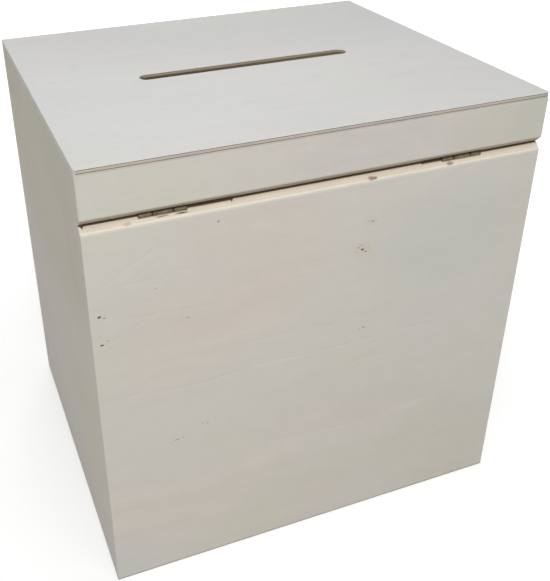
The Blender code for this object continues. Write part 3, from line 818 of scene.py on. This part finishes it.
def build_pin(node, brass, body):
    """The hinge pin, with slightly domed ends."""
    low, high = corners(node)
    centre = (low + high) / 2
    dome = 0.18 * MM
    profile = [(0.0, low.x), (PIN_RADIUS * 0.6, low.x + dome * 0.3), (PIN_RADIUS, low.x + dome),
               (PIN_RADIUS, high.x - dome), (PIN_RADIUS * 0.6, high.x - dome * 0.3), (0.0, high.x)]
    show(turned(profile, tuple(centre), X, 32), node, brass, body)


def build_countersunk_screw(node, way, brass, body):
    """A slotted countersunk screw; its thread is turned as close rings."""
    low, high = corners(node)
    centre = (low + high) / 2
    top, point = (low.z, high.z) if way == ABOVE else (high.z, low.z)
    head = (high.x - low.x) / 2
    shank = head * 0.52
    pitch = way * 0.55 * MM
    bevel = 0.08 * MM
    profile = [(0.0, top), (head - bevel, top), (head, top + way * bevel), (shank, top + way * head * 0.5)]
    rings, level = thread(shank * 0.82, shank, top + way * head * 0.8, pitch, point - 3 * pitch)
    profile += rings + [(shank * 0.7, level), (0.0, point)]
    screw = turned(profile, (centre.x, centre.y, 0.0), Z, 32)
    half_slot = 0.2 * MM
    slot = block((centre.x - half_slot, centre.y - head * 1.1, top - way * MM),
                 (centre.x + half_slot, centre.y + head * 1.1, top + way * 0.35 * MM))
    turn = Matrix.Rotation(math.radians(35 + 400 * centre.x), 3, "Z")
    bmesh.ops.rotate(slot, cent=centre, matrix=turn, verts=slot.verts)
    show(cut_by(screw, slot), node, brass, body)


def build_hinges(brass):
    for side in HINGES:
        build_pin(f"{side}_hinge_pin", brass, "box")
        for part, way, body in (("body", BELOW, "box"), ("lid", ABOVE, "lid")):
            leaf = f"{side}_hinge_{part}_leaf"
            build_leaf(side, leaf, way, brass, body)
            for number in (1, 2):
                build_countersunk_screw(f"{leaf}_screw_{number}", way, brass, body)


# Lock. Everything in it is turned round one axis along Y.

HOUSING_LOW, HOUSING_HIGH = corners("lock_housing")
PLUG_LOW, PLUG_HIGH = corners("lock_plug")
KEY_LOW, KEY_HIGH = corners("key")
LOCK_X = (HOUSING_LOW.x + HOUSING_HIGH.x) / 2
LOCK_Z = (HOUSING_LOW.z + HOUSING_HIGH.z) / 2
LOCK_CENTRE = (LOCK_X, 0.0, LOCK_Z)
FLANGE_RADIUS = HOUSING_HIGH.x - LOCK_X
BARREL_RADIUS = 8.0 * MM
THREAD_DEPTH = 0.35 * MM
PLUG_RADIUS = 6.0 * MM
PLUG_HEAD_RADIUS = PLUG_HIGH.x - LOCK_X
PLUG_CLEARANCE = 0.1 * MM
TAIL_HALF = 3.5 * MM
TURNED_SHARP = math.radians(28)


def bar_on_axis(half_x, half_z, start, end):
    """A square or flat bar on the lock's axis."""
    return block((LOCK_X - half_x, start, LOCK_Z - half_z), (LOCK_X + half_x, end, LOCK_Z + half_z))


def build_housing(nickel):
    """The lock's round face with its rolled rim, and the threaded barrel behind it."""
    face = HOUSING_LOW.y
    back = -HALF_Y - 0.05 * MM
    end = HOUSING_HIGH.y
    mouth = PLUG_HEAD_RADIUS + PLUG_CLEARANCE
    bore = PLUG_RADIUS + PLUG_CLEARANCE
    seat = face + 1.6 * MM
    lip = 0.25 * MM
    rim = 0.7 * MM
    step = 0.08 * MM
    pitch = 1.0 * MM
    profile = [(mouth, face + lip), (mouth + lip, face)]
    profile += [(FLANGE_RADIUS - 1.5 * MM, face), (FLANGE_RADIUS - 1.3 * MM, face + step)]
    profile += arc((FLANGE_RADIUS - rim, face + rim + 0.1 * MM), rim, -math.pi / 2, 0.0, 8)
    profile += [(FLANGE_RADIUS, back), (BARREL_RADIUS, back)]
    root = BARREL_RADIUS - THREAD_DEPTH
    profile += thread(root, BARREL_RADIUS, back + 2 * pitch, pitch, end - pitch)[0]
    profile += [(root, end - 0.2 * MM), (BARREL_RADIUS - 0.6 * MM, end), (bore, end)]
    profile += [(bore, seat), (mouth, seat), (mouth, face + lip)]
    show(turned(profile, LOCK_CENTRE, Y, 96), "lock_housing", nickel, "box", TURNED_SHARP)


def build_nut(zinc):
    """The hexagon nut: its corners are chamfered by a cone, as nuts are."""
    low, high = corners("lock_nut")
    start = low.y - 0.2 * MM
    end = high.y
    corner = (high.x - low.x) / 2
    flat = corner * math.cos(math.pi / 6)
    chamfer = 0.96 * MM
    nut = prism(arc((LOCK_X, LOCK_Z), corner, 0.0, math.tau * 5 / 6, 5), start, end, Y)
    cone = [(0.0, start - MM), (corner + MM, start - MM), (corner + MM, end - chamfer),
            (flat - 0.2 * MM, end), (0.0, end + 0.001 * MM)]
    nut = combined(nut, turned(cone, LOCK_CENTRE, Y, 96), "INTERSECT")
    hole = BARREL_RADIUS + 0.05 * MM
    past = end + 0.05 * MM
    bore = [(0.0, start - MM), (hole, start - MM), (hole, end - 0.4 * MM),
            (hole + 0.45 * MM, past), (0.0, past)]
    show(cut_by(nut, turned(bore, LOCK_CENTRE, Y, 96)), "lock_nut", zinc, "box")


def build_plug(nickel):
    """The plug: a domed head with the keyway, a plain body, and the square tail for the cam."""
    face = PLUG_LOW.y
    end = HOUSING_HIGH.y
    head = PLUG_HEAD_RADIUS
    neck = face + 1.2 * MM
    chamfer = 0.3 * MM
    profile = [(0.0, face), (head - 1.2 * MM, face), (head - 0.35 * MM, face + 0.12 * MM),
               (head, face + 0.45 * MM), (head, neck), (PLUG_RADIUS, neck),
               (PLUG_RADIUS, end - chamfer), (PLUG_RADIUS - chamfer, end), (0.0, end)]
    tail = bar_on_axis(TAIL_HALF, TAIL_HALF, end - MM, PLUG_HIGH.y)
    soften(tail, sharp_edges(tail), 0.3 * MM, 2)
    plug = joined_to(turned(profile, LOCK_CENTRE, Y, 96), tail)
    key_half = (KEY_HIGH.x - KEY_LOW.x) / 2
    keyway = bar_on_axis(key_half + 0.15 * MM, 3.5 * MM, face - BEYOND, KEY_HIGH.y + 0.2 * MM)
    screw_start = corners("cam_screw")[0].y - 0.1 * MM
    plug = cut_by(plug, keyway, rod(1.95 * MM, screw_start, PLUG_HIGH.y + MM, LOCK_CENTRE, Y, 32))
    show(plug, "lock_plug", nickel, "lock", TURNED_SHARP)


def build_cam(zinc):
    """The pressed cam, with a shallow stiffening rib along its arm."""
    low, high = corners("lock_cam")
    hub = (high.z - low.z) / 2
    half_arm = 5.0 * MM
    tip = low.x + half_arm
    meet = math.asin(half_arm / hub)
    outline = arc((LOCK_X, LOCK_Z), hub, meet - math.pi, math.pi - meet, 48)
    outline += arc((tip, LOCK_Z), half_arm, math.pi / 2, math.pi * 3 / 2, 24)
    cam = prism(outline, low.y, high.y, Y)
    soften(cam, sharp_edges(cam, angle=math.radians(60)), 0.25 * MM, 2)
    hole = TAIL_HALF + 0.12 * MM
    cam = cut_by(cam, bar_on_axis(hole, hole, low.y - MM, high.y + MM))
    rib_start = tip + 0.5 * MM
    rib_end = LOCK_X - hub - 1.0 * MM
    width = 3 * MM
    rib = slot_outline(((rib_start + rib_end) / 2, LOCK_Z), rib_end - rib_start + width, width, 12)
    groove = prism(rib, high.y - 0.35 * MM, high.y + MM, Y)
    show(cut_by(cam, groove), "lock_cam", zinc, "lock")


def pan_head_screw(node, head_height, shank, finish, body):
    """A pan-head screw along Y, head towards +Y, with a thread and a cross recess."""
    low, high = corners(node)
    centre = (low + high) / 2
    head = (high.x - low.x) / 2
    seat = high.y - head_height
    pitch = 0.7 * MM
    rings, _ = thread(shank * 0.78, shank, low.y + 0.9 * MM, pitch, seat - pitch * 1.2)
    profile = [(0.0, low.y)] + rings
    profile += [(shank, seat), (head * 0.94, seat), (head, seat + 0.12 * MM)]
    profile += [(head, seat + head_height * 0.35)]
    profile += [(head * math.cos(a), seat + head_height * (0.35 + 0.65 * math.sin(a)))
                for a in (math.pi / 2 * step / 8 for step in range(1, 8))]
    profile += [(0.0, high.y)]
    screw = turned(profile, (centre.x, 0.0, centre.z), Y, 40)
    arm = head * 0.5
    cut = 0.28 * MM
    for half_x, half_z in ((arm, cut), (cut, arm)):
        screw = cut_by(screw, block((centre.x - half_x, high.y - head_height * 0.6, centre.z - half_z),
                                    (centre.x + half_x, high.y + MM, centre.z + half_z)))
    show(screw, node, finish, body)


# Depths of the key's cuts, from the shoulder to the tip, in millimetres
KEY_CUTS = (1.6, 0.8, 2.0, 1.2)


def key_outline(bow, bow_centre):
    """Side view of the key in Y and Z: round bow, neck, shoulder and bitted blade."""
    start = PLUG_LOW.y - 0.3 * MM
    end = KEY_HIGH.y
    top = 3.3 * MM
    shoulder = top + 1.2 * MM
    pitch = (end - start) / (len(KEY_CUTS) + 1)
    flat = pitch / 6
    outline = [(start, shoulder), (start, top)]
    for number, cut in enumerate(KEY_CUTS, 1):
        middle = start + number * pitch
        slope = flat + cut * MM / 2
        outline += [(middle - slope, top), (middle - flat, top - cut * MM),
                    (middle + flat, top - cut * MM), (middle + slope, top)]
    outline += [(end - top / 2, top), (end, top / 2), (end, -top / 2), (end - top / 2, -top)]
    outline += [(start, -top), (start, -shoulder)]
    meet = math.asin(shoulder / bow)
    outline += arc((bow_centre, 0.0), bow, -meet, meet - math.tau, 64)
    return [(y, LOCK_Z + z) for y, z in outline]


def build_key(nickel):
    """The key: its bow has a sunk field on each side, its blade a milled groove on each side."""
    bow = (KEY_HIGH.z - KEY_LOW.z) / 2
    bow_centre = KEY_LOW.y + bow
    hole_centre = (0.0, KEY_LOW.y + 5.5 * MM, LOCK_Z)
    sunk = 0.25 * MM
    field = bow - 2.0 * MM
    slope = 0.3 * MM
    key = prism(key_outline(bow, bow_centre), KEY_LOW.x, KEY_HIGH.x, X)
    soften(key, sharp_edges(key, angle=math.radians(60)), 0.15 * MM, 2)
    key = cut_by(key, rod(2.5 * MM, KEY_LOW.x - MM, KEY_HIGH.x + MM, hole_centre, X, 40))
    for side, face in ((-1.0, KEY_LOW.x), (1.0, KEY_HIGH.x)):
        floor = face - side * sunk
        outside = face + side * MM
        profile = [(0.0, floor), (field, floor), (field + slope, face),
                   (field + slope, outside), (0.0, outside)]
        ring = rod(4.1 * MM, floor - side * MM, outside + side * MM, hole_centre, X, 52)
        disc = cut_by(turned(profile, (0.0, bow_centre, LOCK_Z), X, 64), ring)
        groove = block((floor, PLUG_LOW.y - 3 * MM, LOCK_Z - 1.5 * MM),
                       (outside, KEY_HIGH.y + MM, LOCK_Z - 0.5 * MM))
        key = cut_by(key, disc, groove)
    show(key, "key", nickel, "key")


# Strike

STRIKE_THICKNESS = 1.5 * MM
STRIKE_LIFT = 6.0 * MM


def rounded_strip(path, radii, thickness):
    """Outline of a strip on the left of a path, whose corners are rounded by these radii."""
    def left_of(way):
        return Vector((-way.y, way.x))

    ways = [(b - a).normalized() for a, b in zip(path, path[1:])]
    right = [path[0]]
    left = [path[0] + left_of(ways[0]) * thickness]
    for corner, into, out, radius in zip(path[1:], ways, ways[1:], radii):
        turn = math.atan2(into.x * out.y - into.y * out.x, into.dot(out))
        bend = 1.0 if turn > 0 else -1.0
        radius += thickness if bend > 0 else 0.0
        side = left_of(into) * bend
        centre = corner - into * radius * math.tan(abs(turn) / 2) + side * radius
        start = math.atan2(-side.y, -side.x)
        for spoke in arc((0.0, 0.0), 1.0, start, start + turn, 8):
            right.append(centre + Vector(spoke) * radius)
            left.append(centre + Vector(spoke) * (radius - bend * thickness))
    right.append(path[-1])
    left.append(path[-1] + left_of(ways[-1]) * thickness)
    return [tuple(point) for point in right + left[::-1]]


def build_strike(brass):
    """The strike, a strip of even thickness with rounded bends, and its two screws."""
    low, high = corners("strike")
    leg = min(point.y for point in cad_points("strike") if near(point.z, low.z))
    seat = WALL - HALF_Y + 0.06 * MM
    bend_top = RAIL_LOW.z + STRIKE_LIFT
    bend_bottom = bend_top - (leg - seat)
    path = [(seat, high.z), (seat, bend_top), (leg, bend_bottom), (leg, low.z), (high.y, low.z)]
    radii = (1.2 * MM, 1.2 * MM, 0.5 * MM)
    outline = rounded_strip([Vector(point) for point in path], radii, STRIKE_THICKNESS)
    strike = prism(outline, low.x, high.x, X)
    ends = sharp_edges(strike, lambda p: near(p.x, low.x) or near(p.x, high.x), math.radians(60))
    soften(strike, ends, 0.15 * MM, 2)
    for number in (1, 2):
        node = f"strike_screw_{number}"
        screw_low, screw_high = corners(node)
        centre = (screw_low + screw_high) / 2
        hole = rod(1.5 * MM, low.y - MM, low.y + 4 * MM, (centre.x, 0.0, centre.z), Y, 32)
        strike = cut_by(strike, hole)
        pan_head_screw(node, 1.5 * MM, 1.4 * MM, brass, "lid")
    show(strike, "strike", brass, "lid")


# Materials of the woodwork: each panel has its own stretch of veneer

WALL_TONES = ((0.545, 0.503, 0.452), (0.525, 0.510, 0.462), (0.528, 0.508, 0.438))
TOP_TONES = ((0.566, 0.553, 0.538), (0.555, 0.556, 0.551), (0.558, 0.557, 0.533))
INSIDE_TONES = ((0.60, 0.54, 0.45), (0.57, 0.53, 0.45), (0.58, 0.53, 0.42))

# Marks on the rear: X and Z of the middle, half length, half height, and how dark
REAR_MARKS = (
    (138.4, 211.3, 1.4, 0.9, 1.0),
    (135.8, 209.9, 1.2, 0.5, 0.7),
    (138.6, 192.3, 1.6, 0.75, 1.0),
    (135.0, 194.4, 1.5, 0.4, 0.4),
    (138.9, 198.5, 1.2, 0.3, 0.25),
    (68.3, 256.0, 0.9, 0.7, 0.6),
    (-28.8, 236.2, 1.0, 0.8, 0.6),
    (-31.2, 235.9, 0.7, 0.5, 0.45),
    (-26.4, 236.6, 1.6, 0.4, 0.3),
    (-23.4, 218.0, 1.4, 0.9, 0.95),
    (-20.6, 219.8, 0.9, 0.6, 0.7),
    (-25.6, 216.2, 1.2, 0.6, 0.7),
    (-22.6, 221.2, 0.8, 0.5, 0.6),
    (-19.4, 216.6, 1.0, 0.4, 0.4),
    (-27.4, 219.4, 0.8, 0.4, 0.4),
    (-28.6, 159.6, 1.1, 0.8, 0.55),
    (-25.4, 159.0, 0.9, 0.6, 0.45),
    (87.6, 197.8, 1.3, 0.6, 0.4),
    (105.9, 222.0, 1.2, 0.5, 0.35),
    (78.0, 115.9, 0.8, 0.8, 0.5),
    (81.2, 116.4, 0.7, 0.6, 0.35),
    (63.5, 114.8, 0.9, 0.6, 0.35),
    (98.2, 108.8, 3.0, 0.7, 0.4),
    (94.0, 109.2, 1.4, 0.5, 0.3),
)
# Lines of the growth rings on the rear: level at X = 0, X from and to, strength, and rise along X
GRAIN_LINES = (
    (150.0, -95.0, 140.0, 1.0, 0.0),
    (169.0, -60.0, 90.0, 0.5, 0.0),
    (84.0, -100.0, 60.0, 0.6, 0.0),
    (228.0, 80.0, 142.0, 0.7, 0.0),
    (205.0, 60.0, 138.0, 0.6, 0.0),
    (309.6, 92.0, 144.0, 0.7, -0.6),
    (290.0, 80.0, 140.0, 0.5, -0.5),
    (248.0, 84.0, 144.0, 0.6, -0.4),
    (136.0, -90.0, -10.0, 0.5, 0.1),
)
# Marks on the bevel under the seam, two brown knots, a paler one, and two dark lines of painted shade under
# the right hinge's barrel: X and Z of the middle, half length, half height, how ragged, share and tone
BEVEL_MARKS = (
    (-27.0, 263.9, 3.8, 1.1, 3.0, 0.95, (0.25, 0.17, 0.10)),
    (-79.5, 264.0, 3.4, 1.1, 3.0, 0.8, (0.25, 0.17, 0.10)),
    (118.5, 264.0, 3.0, 1.1, 1.6, 0.55, (0.42, 0.32, 0.15)),
    # Painted shade under the barrel of the right hinge, in these two rows.
    (88.2, 264.55, 4.8, 0.45, 1.0, 1.0, (0.10, 0.065, 0.035)),
    (99.5, 264.6, 4.6, 0.35, 1.6, 0.85, (0.16, 0.11, 0.065)),
)
# Soft patches on the outer faces: place along the face and Z of the middle, half length, half height, and the
# tone that the colour is multiplied with. Two on the right cross the seam, so wall and rail both have them.
ACROSS_SEAM = (
    (-92.0, 286.0, 55.0, 30.0, (0.95, 0.955, 0.94)),
    (80.0, 284.0, 70.0, 34.0, (0.965, 0.965, 0.95)),
)
PATCHES = {
    "rear_wall": (
        (70.0, 215.0, 85.0, 50.0, (1.006, 0.987, 0.985)),
        (-85.0, 218.0, 70.0, 45.0, (0.955, 0.972, 0.99)),
        (15.0, 275.0, 60.0, 22.0, (0.98, 0.985, 1.02)),
        (-23.5, 218.0, 9.0, 7.0, (0.995, 0.965, 0.90)),
        (-27.0, 236.5, 6.0, 5.0, (0.985, 0.965, 0.92)),
        (-42.0, 94.0, 46.0, 17.0, (0.985, 0.972, 0.98)),
        (-100.0, 45.0, 70.0, 60.0, (0.962, 0.97, 0.945)),
        (20.0, 35.0, 100.0, 45.0, (0.99, 0.988, 0.978)),
        (136.0, 18.0, 28.0, 28.0, (0.975, 0.995, 1.02)),
        (-68.0, 83.0, 26.0, 5.0, (1.035, 1.035, 1.03)),
        (44.0, 70.0, 18.0, 6.0, (1.04, 1.035, 1.025)),
        (74.0, 38.0, 24.0, 5.0, (1.04, 1.035, 1.025)),
        (30.0, 151.0, 30.0, 4.0, (1.03, 1.03, 1.03)),
    ),
    "rear_rail": (
        (-35.0, 284.0, 75.0, 22.0, (0.965, 0.98, 1.02)),
        (-125.0, 282.0, 60.0, 30.0, (0.935, 0.945, 0.915)),
    ),
    "right_wall": (
        (-10.0, 245.0, 170.0, 95.0, (0.925, 0.925, 0.865)),
        (85.0, 130.0, 75.0, 170.0, (0.985, 0.985, 0.94)),
        (100.0, 235.0, 34.0, 48.0, (0.955, 0.95, 0.95)),
        *ACROSS_SEAM,
    ),
    "right_rail": (
        (-10.0, 270.0, 220.0, 80.0, (0.915, 0.915, 0.85)),
        *ACROSS_SEAM,
    ),
}
# Smudges on the top: X and Y of the middle, half length and half width
TOP_SMUDGES = (
    (108.0, -40.0, 3.9, 6.5),
    (-20.0, -92.0, 3.25, 9.1),
    (92.0, 102.0, 4.55, 2.6),
    (118.0, 106.0, 3.25, 2.6),
    (26.0, 70.0, 6.5, 3.9),
    (0.0, 68.0, 5.2, 3.25),
    (-6.0, 48.0, 3.9, 2.6),
    (-30.0, 43.0, 3.25, 6.5),
    (-76.0, 58.0, 3.25, 2.6),
    (6.0, 104.0, 3.25, 5.2),
    (128.0, -12.0, 3.25, 3.25),
    (78.0, 9.0, 4.55, 3.9),
)


def grain_line(wood, level, start, end, strength, rise):
    """A wavy line of the growth rings along X, dark above and light below."""
    graph = wood.graph
    sway = graph.noise(wood.x * 0.018, level * 0.1, 0.0, 4.0, 0.6) - 0.5
    offset = wood.z - wood.x * rise - level - sway * 16.0
    there = wood.x.band(start, start + 25.0, end - 20.0, end) * wood.depth.fall(0.2, 0.5)
    there = there * graph.noise(wood.x * 0.05, level, 0.0).step(0.3, 0.7) * (strength * 0.075)
    wood.shade((offset - 0.9).ridge(1.3) * there, 1.0)
    wood.shade((offset + 0.9).ridge(1.5) * there, -0.8)


def add_rear_marks(wood):
    """Knots and growth rings on the rear wall, and on its bevel knots, painted shade under the right hinge
    and a run of pits.
    """
    for x, z, half_x, half_z, strength in REAR_MARKS:
        wood.knot((x, z), (half_x, half_z), strength)
    for line in GRAIN_LINES:
        grain_line(wood, *line)
    for x, z, half_x, half_z, ragged, share, tone in BEVEL_MARKS:
        mark = oval((wood.x, wood.z), (x, z), (half_x, half_z), wood.ragged * ragged)
        wood.tint(mark * wood.at_cut * share, tone)
    run = wood.x.band(-75.0, -60.0, -12.0, 2.0) * 0.5
    wood.tint(wood.ragged.step(0.09, 0.2) * run * wood.at_cut, (0.36, 0.26, 0.17))


def paint_seam_shade(wood, way):
    """Painted shade, dark brown, deep in the joint between the rear wall and the lid."""
    in_joint = wood.y.band(115.3, 115.8, 119.9, 120.3)
    near_seam = ((wood.z - SEAM / MM) * -way).step(-1.9, -1.5)
    wood.tint(in_joint * near_seam * wood.at_cut * 0.9, (0.125, 0.07, 0.038))


def paint_foot_shade(wood):
    """The lowest edge, darkened unevenly with painted shade where it stands on the floor."""
    darkening = wood.graph.noise(wood.x * 0.08, wood.y * 0.08, wood.z * 0.8)
    wood.shade(wood.z.fall(0.7, 1.8) * (darkening * 0.6 + 0.6), 0.5)


def wall_plywood(part, side, seed, look):
    """The plywood of a wall or a rail, with the soft patches of its outer face."""
    facing = outward(side)
    front_or_rear = abs(facing.y) > 0.5
    outer = facing.y * HALF_Y if front_or_rear else facing.x * HALF_X
    wood = Plywood(f"plywood_{side}_{part}", "XZY" if front_or_rear else "YZX", outer,
                   -1.0 if outer > 0 else 1.0, WALL, WALL_PLIES, seed, WALL_TONES, look)
    for along, z, half_along, half_z, tone in PATCHES.get(f"{side}_{part}", ()):
        wood.patch((along, z), (half_along, half_z), (*tone, 1.0))
    return wood


def side_plywood():
    """The plywood of each wall and rail. On each side of the box the grain runs on from one to the other."""
    wood = {}
    for number, side in enumerate(TURNS):
        seed = 7.3 + 11.9 * number
        wall = wall_plywood("wall", side, seed, FRESH_CUT)
        rail = wall_plywood("rail", side, seed + 0.4, SHADED_RAIL_CUT)
        if side == "rear":
            add_rear_marks(wall)
        if side != "front":
            paint_seam_shade(wall, BELOW)
            paint_seam_shade(rail, ABOVE)
        paint_foot_shade(wall)
        wood[side + "_wall"] = wall.finish()
        wood[side + "_rail"] = rail.finish()
    return wood


def top_plywood():
    """The top panel: paler veneer with small smudges, painted shade towards the front, dark glue lines and a
    browned slot with painted shade inside.
    """
    wood = Plywood("plywood_top", "XYZ", BOX_TOP, -1.0, BOX_TOP - PANEL_LOW.z, TOP_PLIES, 61.7, TOP_TONES,
                   TOP_CUT, figure=0.5)
    graph = wood.graph
    smudge = graph.noise(wood.x * 0.11 + 3.0, wood.y * 0.17, 0.0, 3.0, 0.55).step(0.60, 0.72)
    wood.shade(smudge * wood.on_face, 0.035)
    for x, y, half_x, half_y in TOP_SMUDGES:
        spot = oval(wood.plane, (x, y), (half_x, half_y), wood.ragged * 2.0)
        wood.shade(spot * wood.on_face, 0.035)
    # Painted shade: the front half of the top is darker, as if less light reached it.
    wood.patch((-20.0, -145.0), (240.0, 175.0), (0.885, 0.885, 0.88, 1.0))

    stretch = graph.noise(wood.x * 0.03, wood.y * 0.03, 7.0)
    wood.multiply_tone(wood.at_cut * stretch.step(0.44, 0.60), (0.92, 0.965, 0.985, 1.0))
    wood.multiply_tone(wood.at_cut * abs(wood.x).step(108.0, 138.0), (0.93, 1.0, 0.92, 1.0))
    wood.tint(wood.x.step(142.6, 143.3) * wood.at_cut * 0.85, (0.53, 0.515, 0.465))

    in_slot = abs(wood.x).fall(90.0, 95.0) * abs(wood.y).fall(20.0, 22.0) * wood.at_cut
    brown = wood.x.band(-20.0, 15.0, 48.0, 60.0)
    wood.multiply_tone(in_slot * (1.0 - brown), (0.97, 1.0, 0.88, 1.0))
    # Painted shade, deepening into the slot and darkest low in its wall towards +X.
    wood.shade(in_slot * wood.depth.step(2.1, 3.1) * (wood.x.step(-60.0, 60.0) * 0.5 + 0.08), 1.0)
    wood.shade(in_slot * wood.depth.step(0.2, 3.2), 0.54)
    wood.multiply_tone(in_slot, (0.98, 0.88, 0.72, 1.0))
    return wood.finish("plywood_top")


def bottom_plywood():
    wood = Plywood("plywood_bottom", "XYZ", 0.0, 1.0, FLOOR_PANEL_HIGH.z, BOTTOM_PLIES, 83.1, INSIDE_TONES)
    paint_foot_shade(wood)
    return wood.finish("plywood_bottom")


# Studio

WORLD_LIGHT = 0.28
FLOOR_GLOW = 0.44
LIGHTS_AIM = (0.0, 0.0, 0.15)
# Soft lights: name, place, diameter in metres and power in watts
LIGHTS = (
    ("overhead", (0.15, 0.5, 1.25), 0.8, 5.4),
    ("rear_soft", (0.55, 1.5, 0.95), 1.1, 15.0),
    ("front_soft", (-0.6, -2.4, 0.75), 1.8, 36.0),
    ("left_soft", (-2.4, 0.3, 1.1), 1.4, 10.0),
    ("right_soft", (2.4, -0.3, 1.1), 1.4, 5.0),
)


def emission_for_camera(graph, unseen):
    """1 for the camera, reflections and what is seen through things, another strength for lighting."""
    shown = 0.0
    for ray in ("Camera", "Glossy", "Transmission"):
        shown = graph.calculate("MAXIMUM", shown, graph.node("ShaderNodeLightPath", output=f"Is {ray} Ray"))
    return shown * (1.0 - unseen) + unseen


def build_world():
    """A plain pale surrounding, white where it is seen."""
    world = bpy.data.worlds.new("studio")
    bpy.context.scene.world = world
    graph = Graph(world)
    level = emission_for_camera(graph, WORLD_LIGHT)
    background = graph.node("ShaderNodeBackground", values={"Color": (1.0, 1.0, 1.0, 1.0), "Strength": level})
    graph.node("ShaderNodeOutputWorld", values={"Surface": background})


def build_floor():
    """A pale floor, nearly white to the camera, that keeps the box's shadow."""
    bm = bmesh.new()
    bmesh.ops.create_grid(bm, x_segments=1, y_segments=1, size=6.0)
    floor = placed("floor", mesh_of(bm, "floor"))
    floor.location.z = -0.05 * MM
    graph = Graph(bpy.data.materials.new("pale_floor"))
    x, y, _ = graph.object_millimetres()
    away = ((x ** 2.0 + y ** 2.0) ** 0.5).step(150.0, 900.0)
    glow = emission_for_camera(graph, 0.0) * (away * 0.35 + FLOOR_GLOW)
    floor.data.materials.append(graph.principled(
        Base_Color=(0.62, 0.62, 0.62, 1.0), Roughness=0.9, Emission_Color=graph.grey(glow),
        Emission_Strength=1.0, Specular_IOR_Level=0.0))
    floor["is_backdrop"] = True


def build_lights():
    for name, place, diameter, power in LIGHTS:
        lamp = bpy.data.lights.new(name, "AREA")
        lamp.shape = "DISK"
        lamp.size = diameter
        lamp.energy = power
        holder = placed(name, lamp)
        holder.location = place
        holder.rotation_mode = "QUATERNION"
        holder.rotation_quaternion = (Vector(LIGHTS_AIM) - Vector(place)).to_track_quat("-Z", "Y")
        holder.visible_camera = False


# Camera, where the photograph was taken from. Its values come from the photo's perspective.

CAMERA_PLACE = (0.205687, 0.495176, 0.469520)
CAMERA_RIGHT = (-0.93377, 0.35756, -0.01482)
CAMERA_DOWN = (0.18655, 0.45101, -0.87280)
CAMERA_AHEAD = (-0.30540, -0.81776, -0.48785)
CAMERA_SHIFT = (0.09327, -0.09752)
SENSOR_WIDTH = 36.0
LENS = 51.262


def build_camera():
    camera = bpy.data.cameras.new("camera")
    camera.sensor_width = SENSOR_WIDTH
    camera.lens = LENS
    camera.shift_x, camera.shift_y = CAMERA_SHIFT
    holder = placed("camera", camera)
    turn = Matrix((CAMERA_RIGHT, [-value for value in CAMERA_DOWN], [-value for value in CAMERA_AHEAD]))
    holder.matrix_world = Matrix.Translation(CAMERA_PLACE) @ turn.transposed().to_4x4()
    bpy.context.scene.camera = holder


def main():
    bpy.context.scene.view_settings.view_transform = "Standard"
    wood = side_plywood()
    brass = aged_brass()
    nickel = nickel_plate()
    zinc = zinc_plate()

    build_walls(wood)
    build_bottom_panel(bottom_plywood())
    build_rails(wood)
    build_top_panel(top_plywood())
    build_hinges(brass)
    build_housing(nickel)
    build_nut(zinc)
    build_plug(nickel)
    build_cam(zinc)
    pan_head_screw("cam_screw", 2.0 * MM, 1.9 * MM, zinc, "lock")
    build_key(nickel)
    build_strike(brass)

    build_world()
    build_floor()
    build_lights()
    build_camera()


main()
keep_size("scene", SIZES)
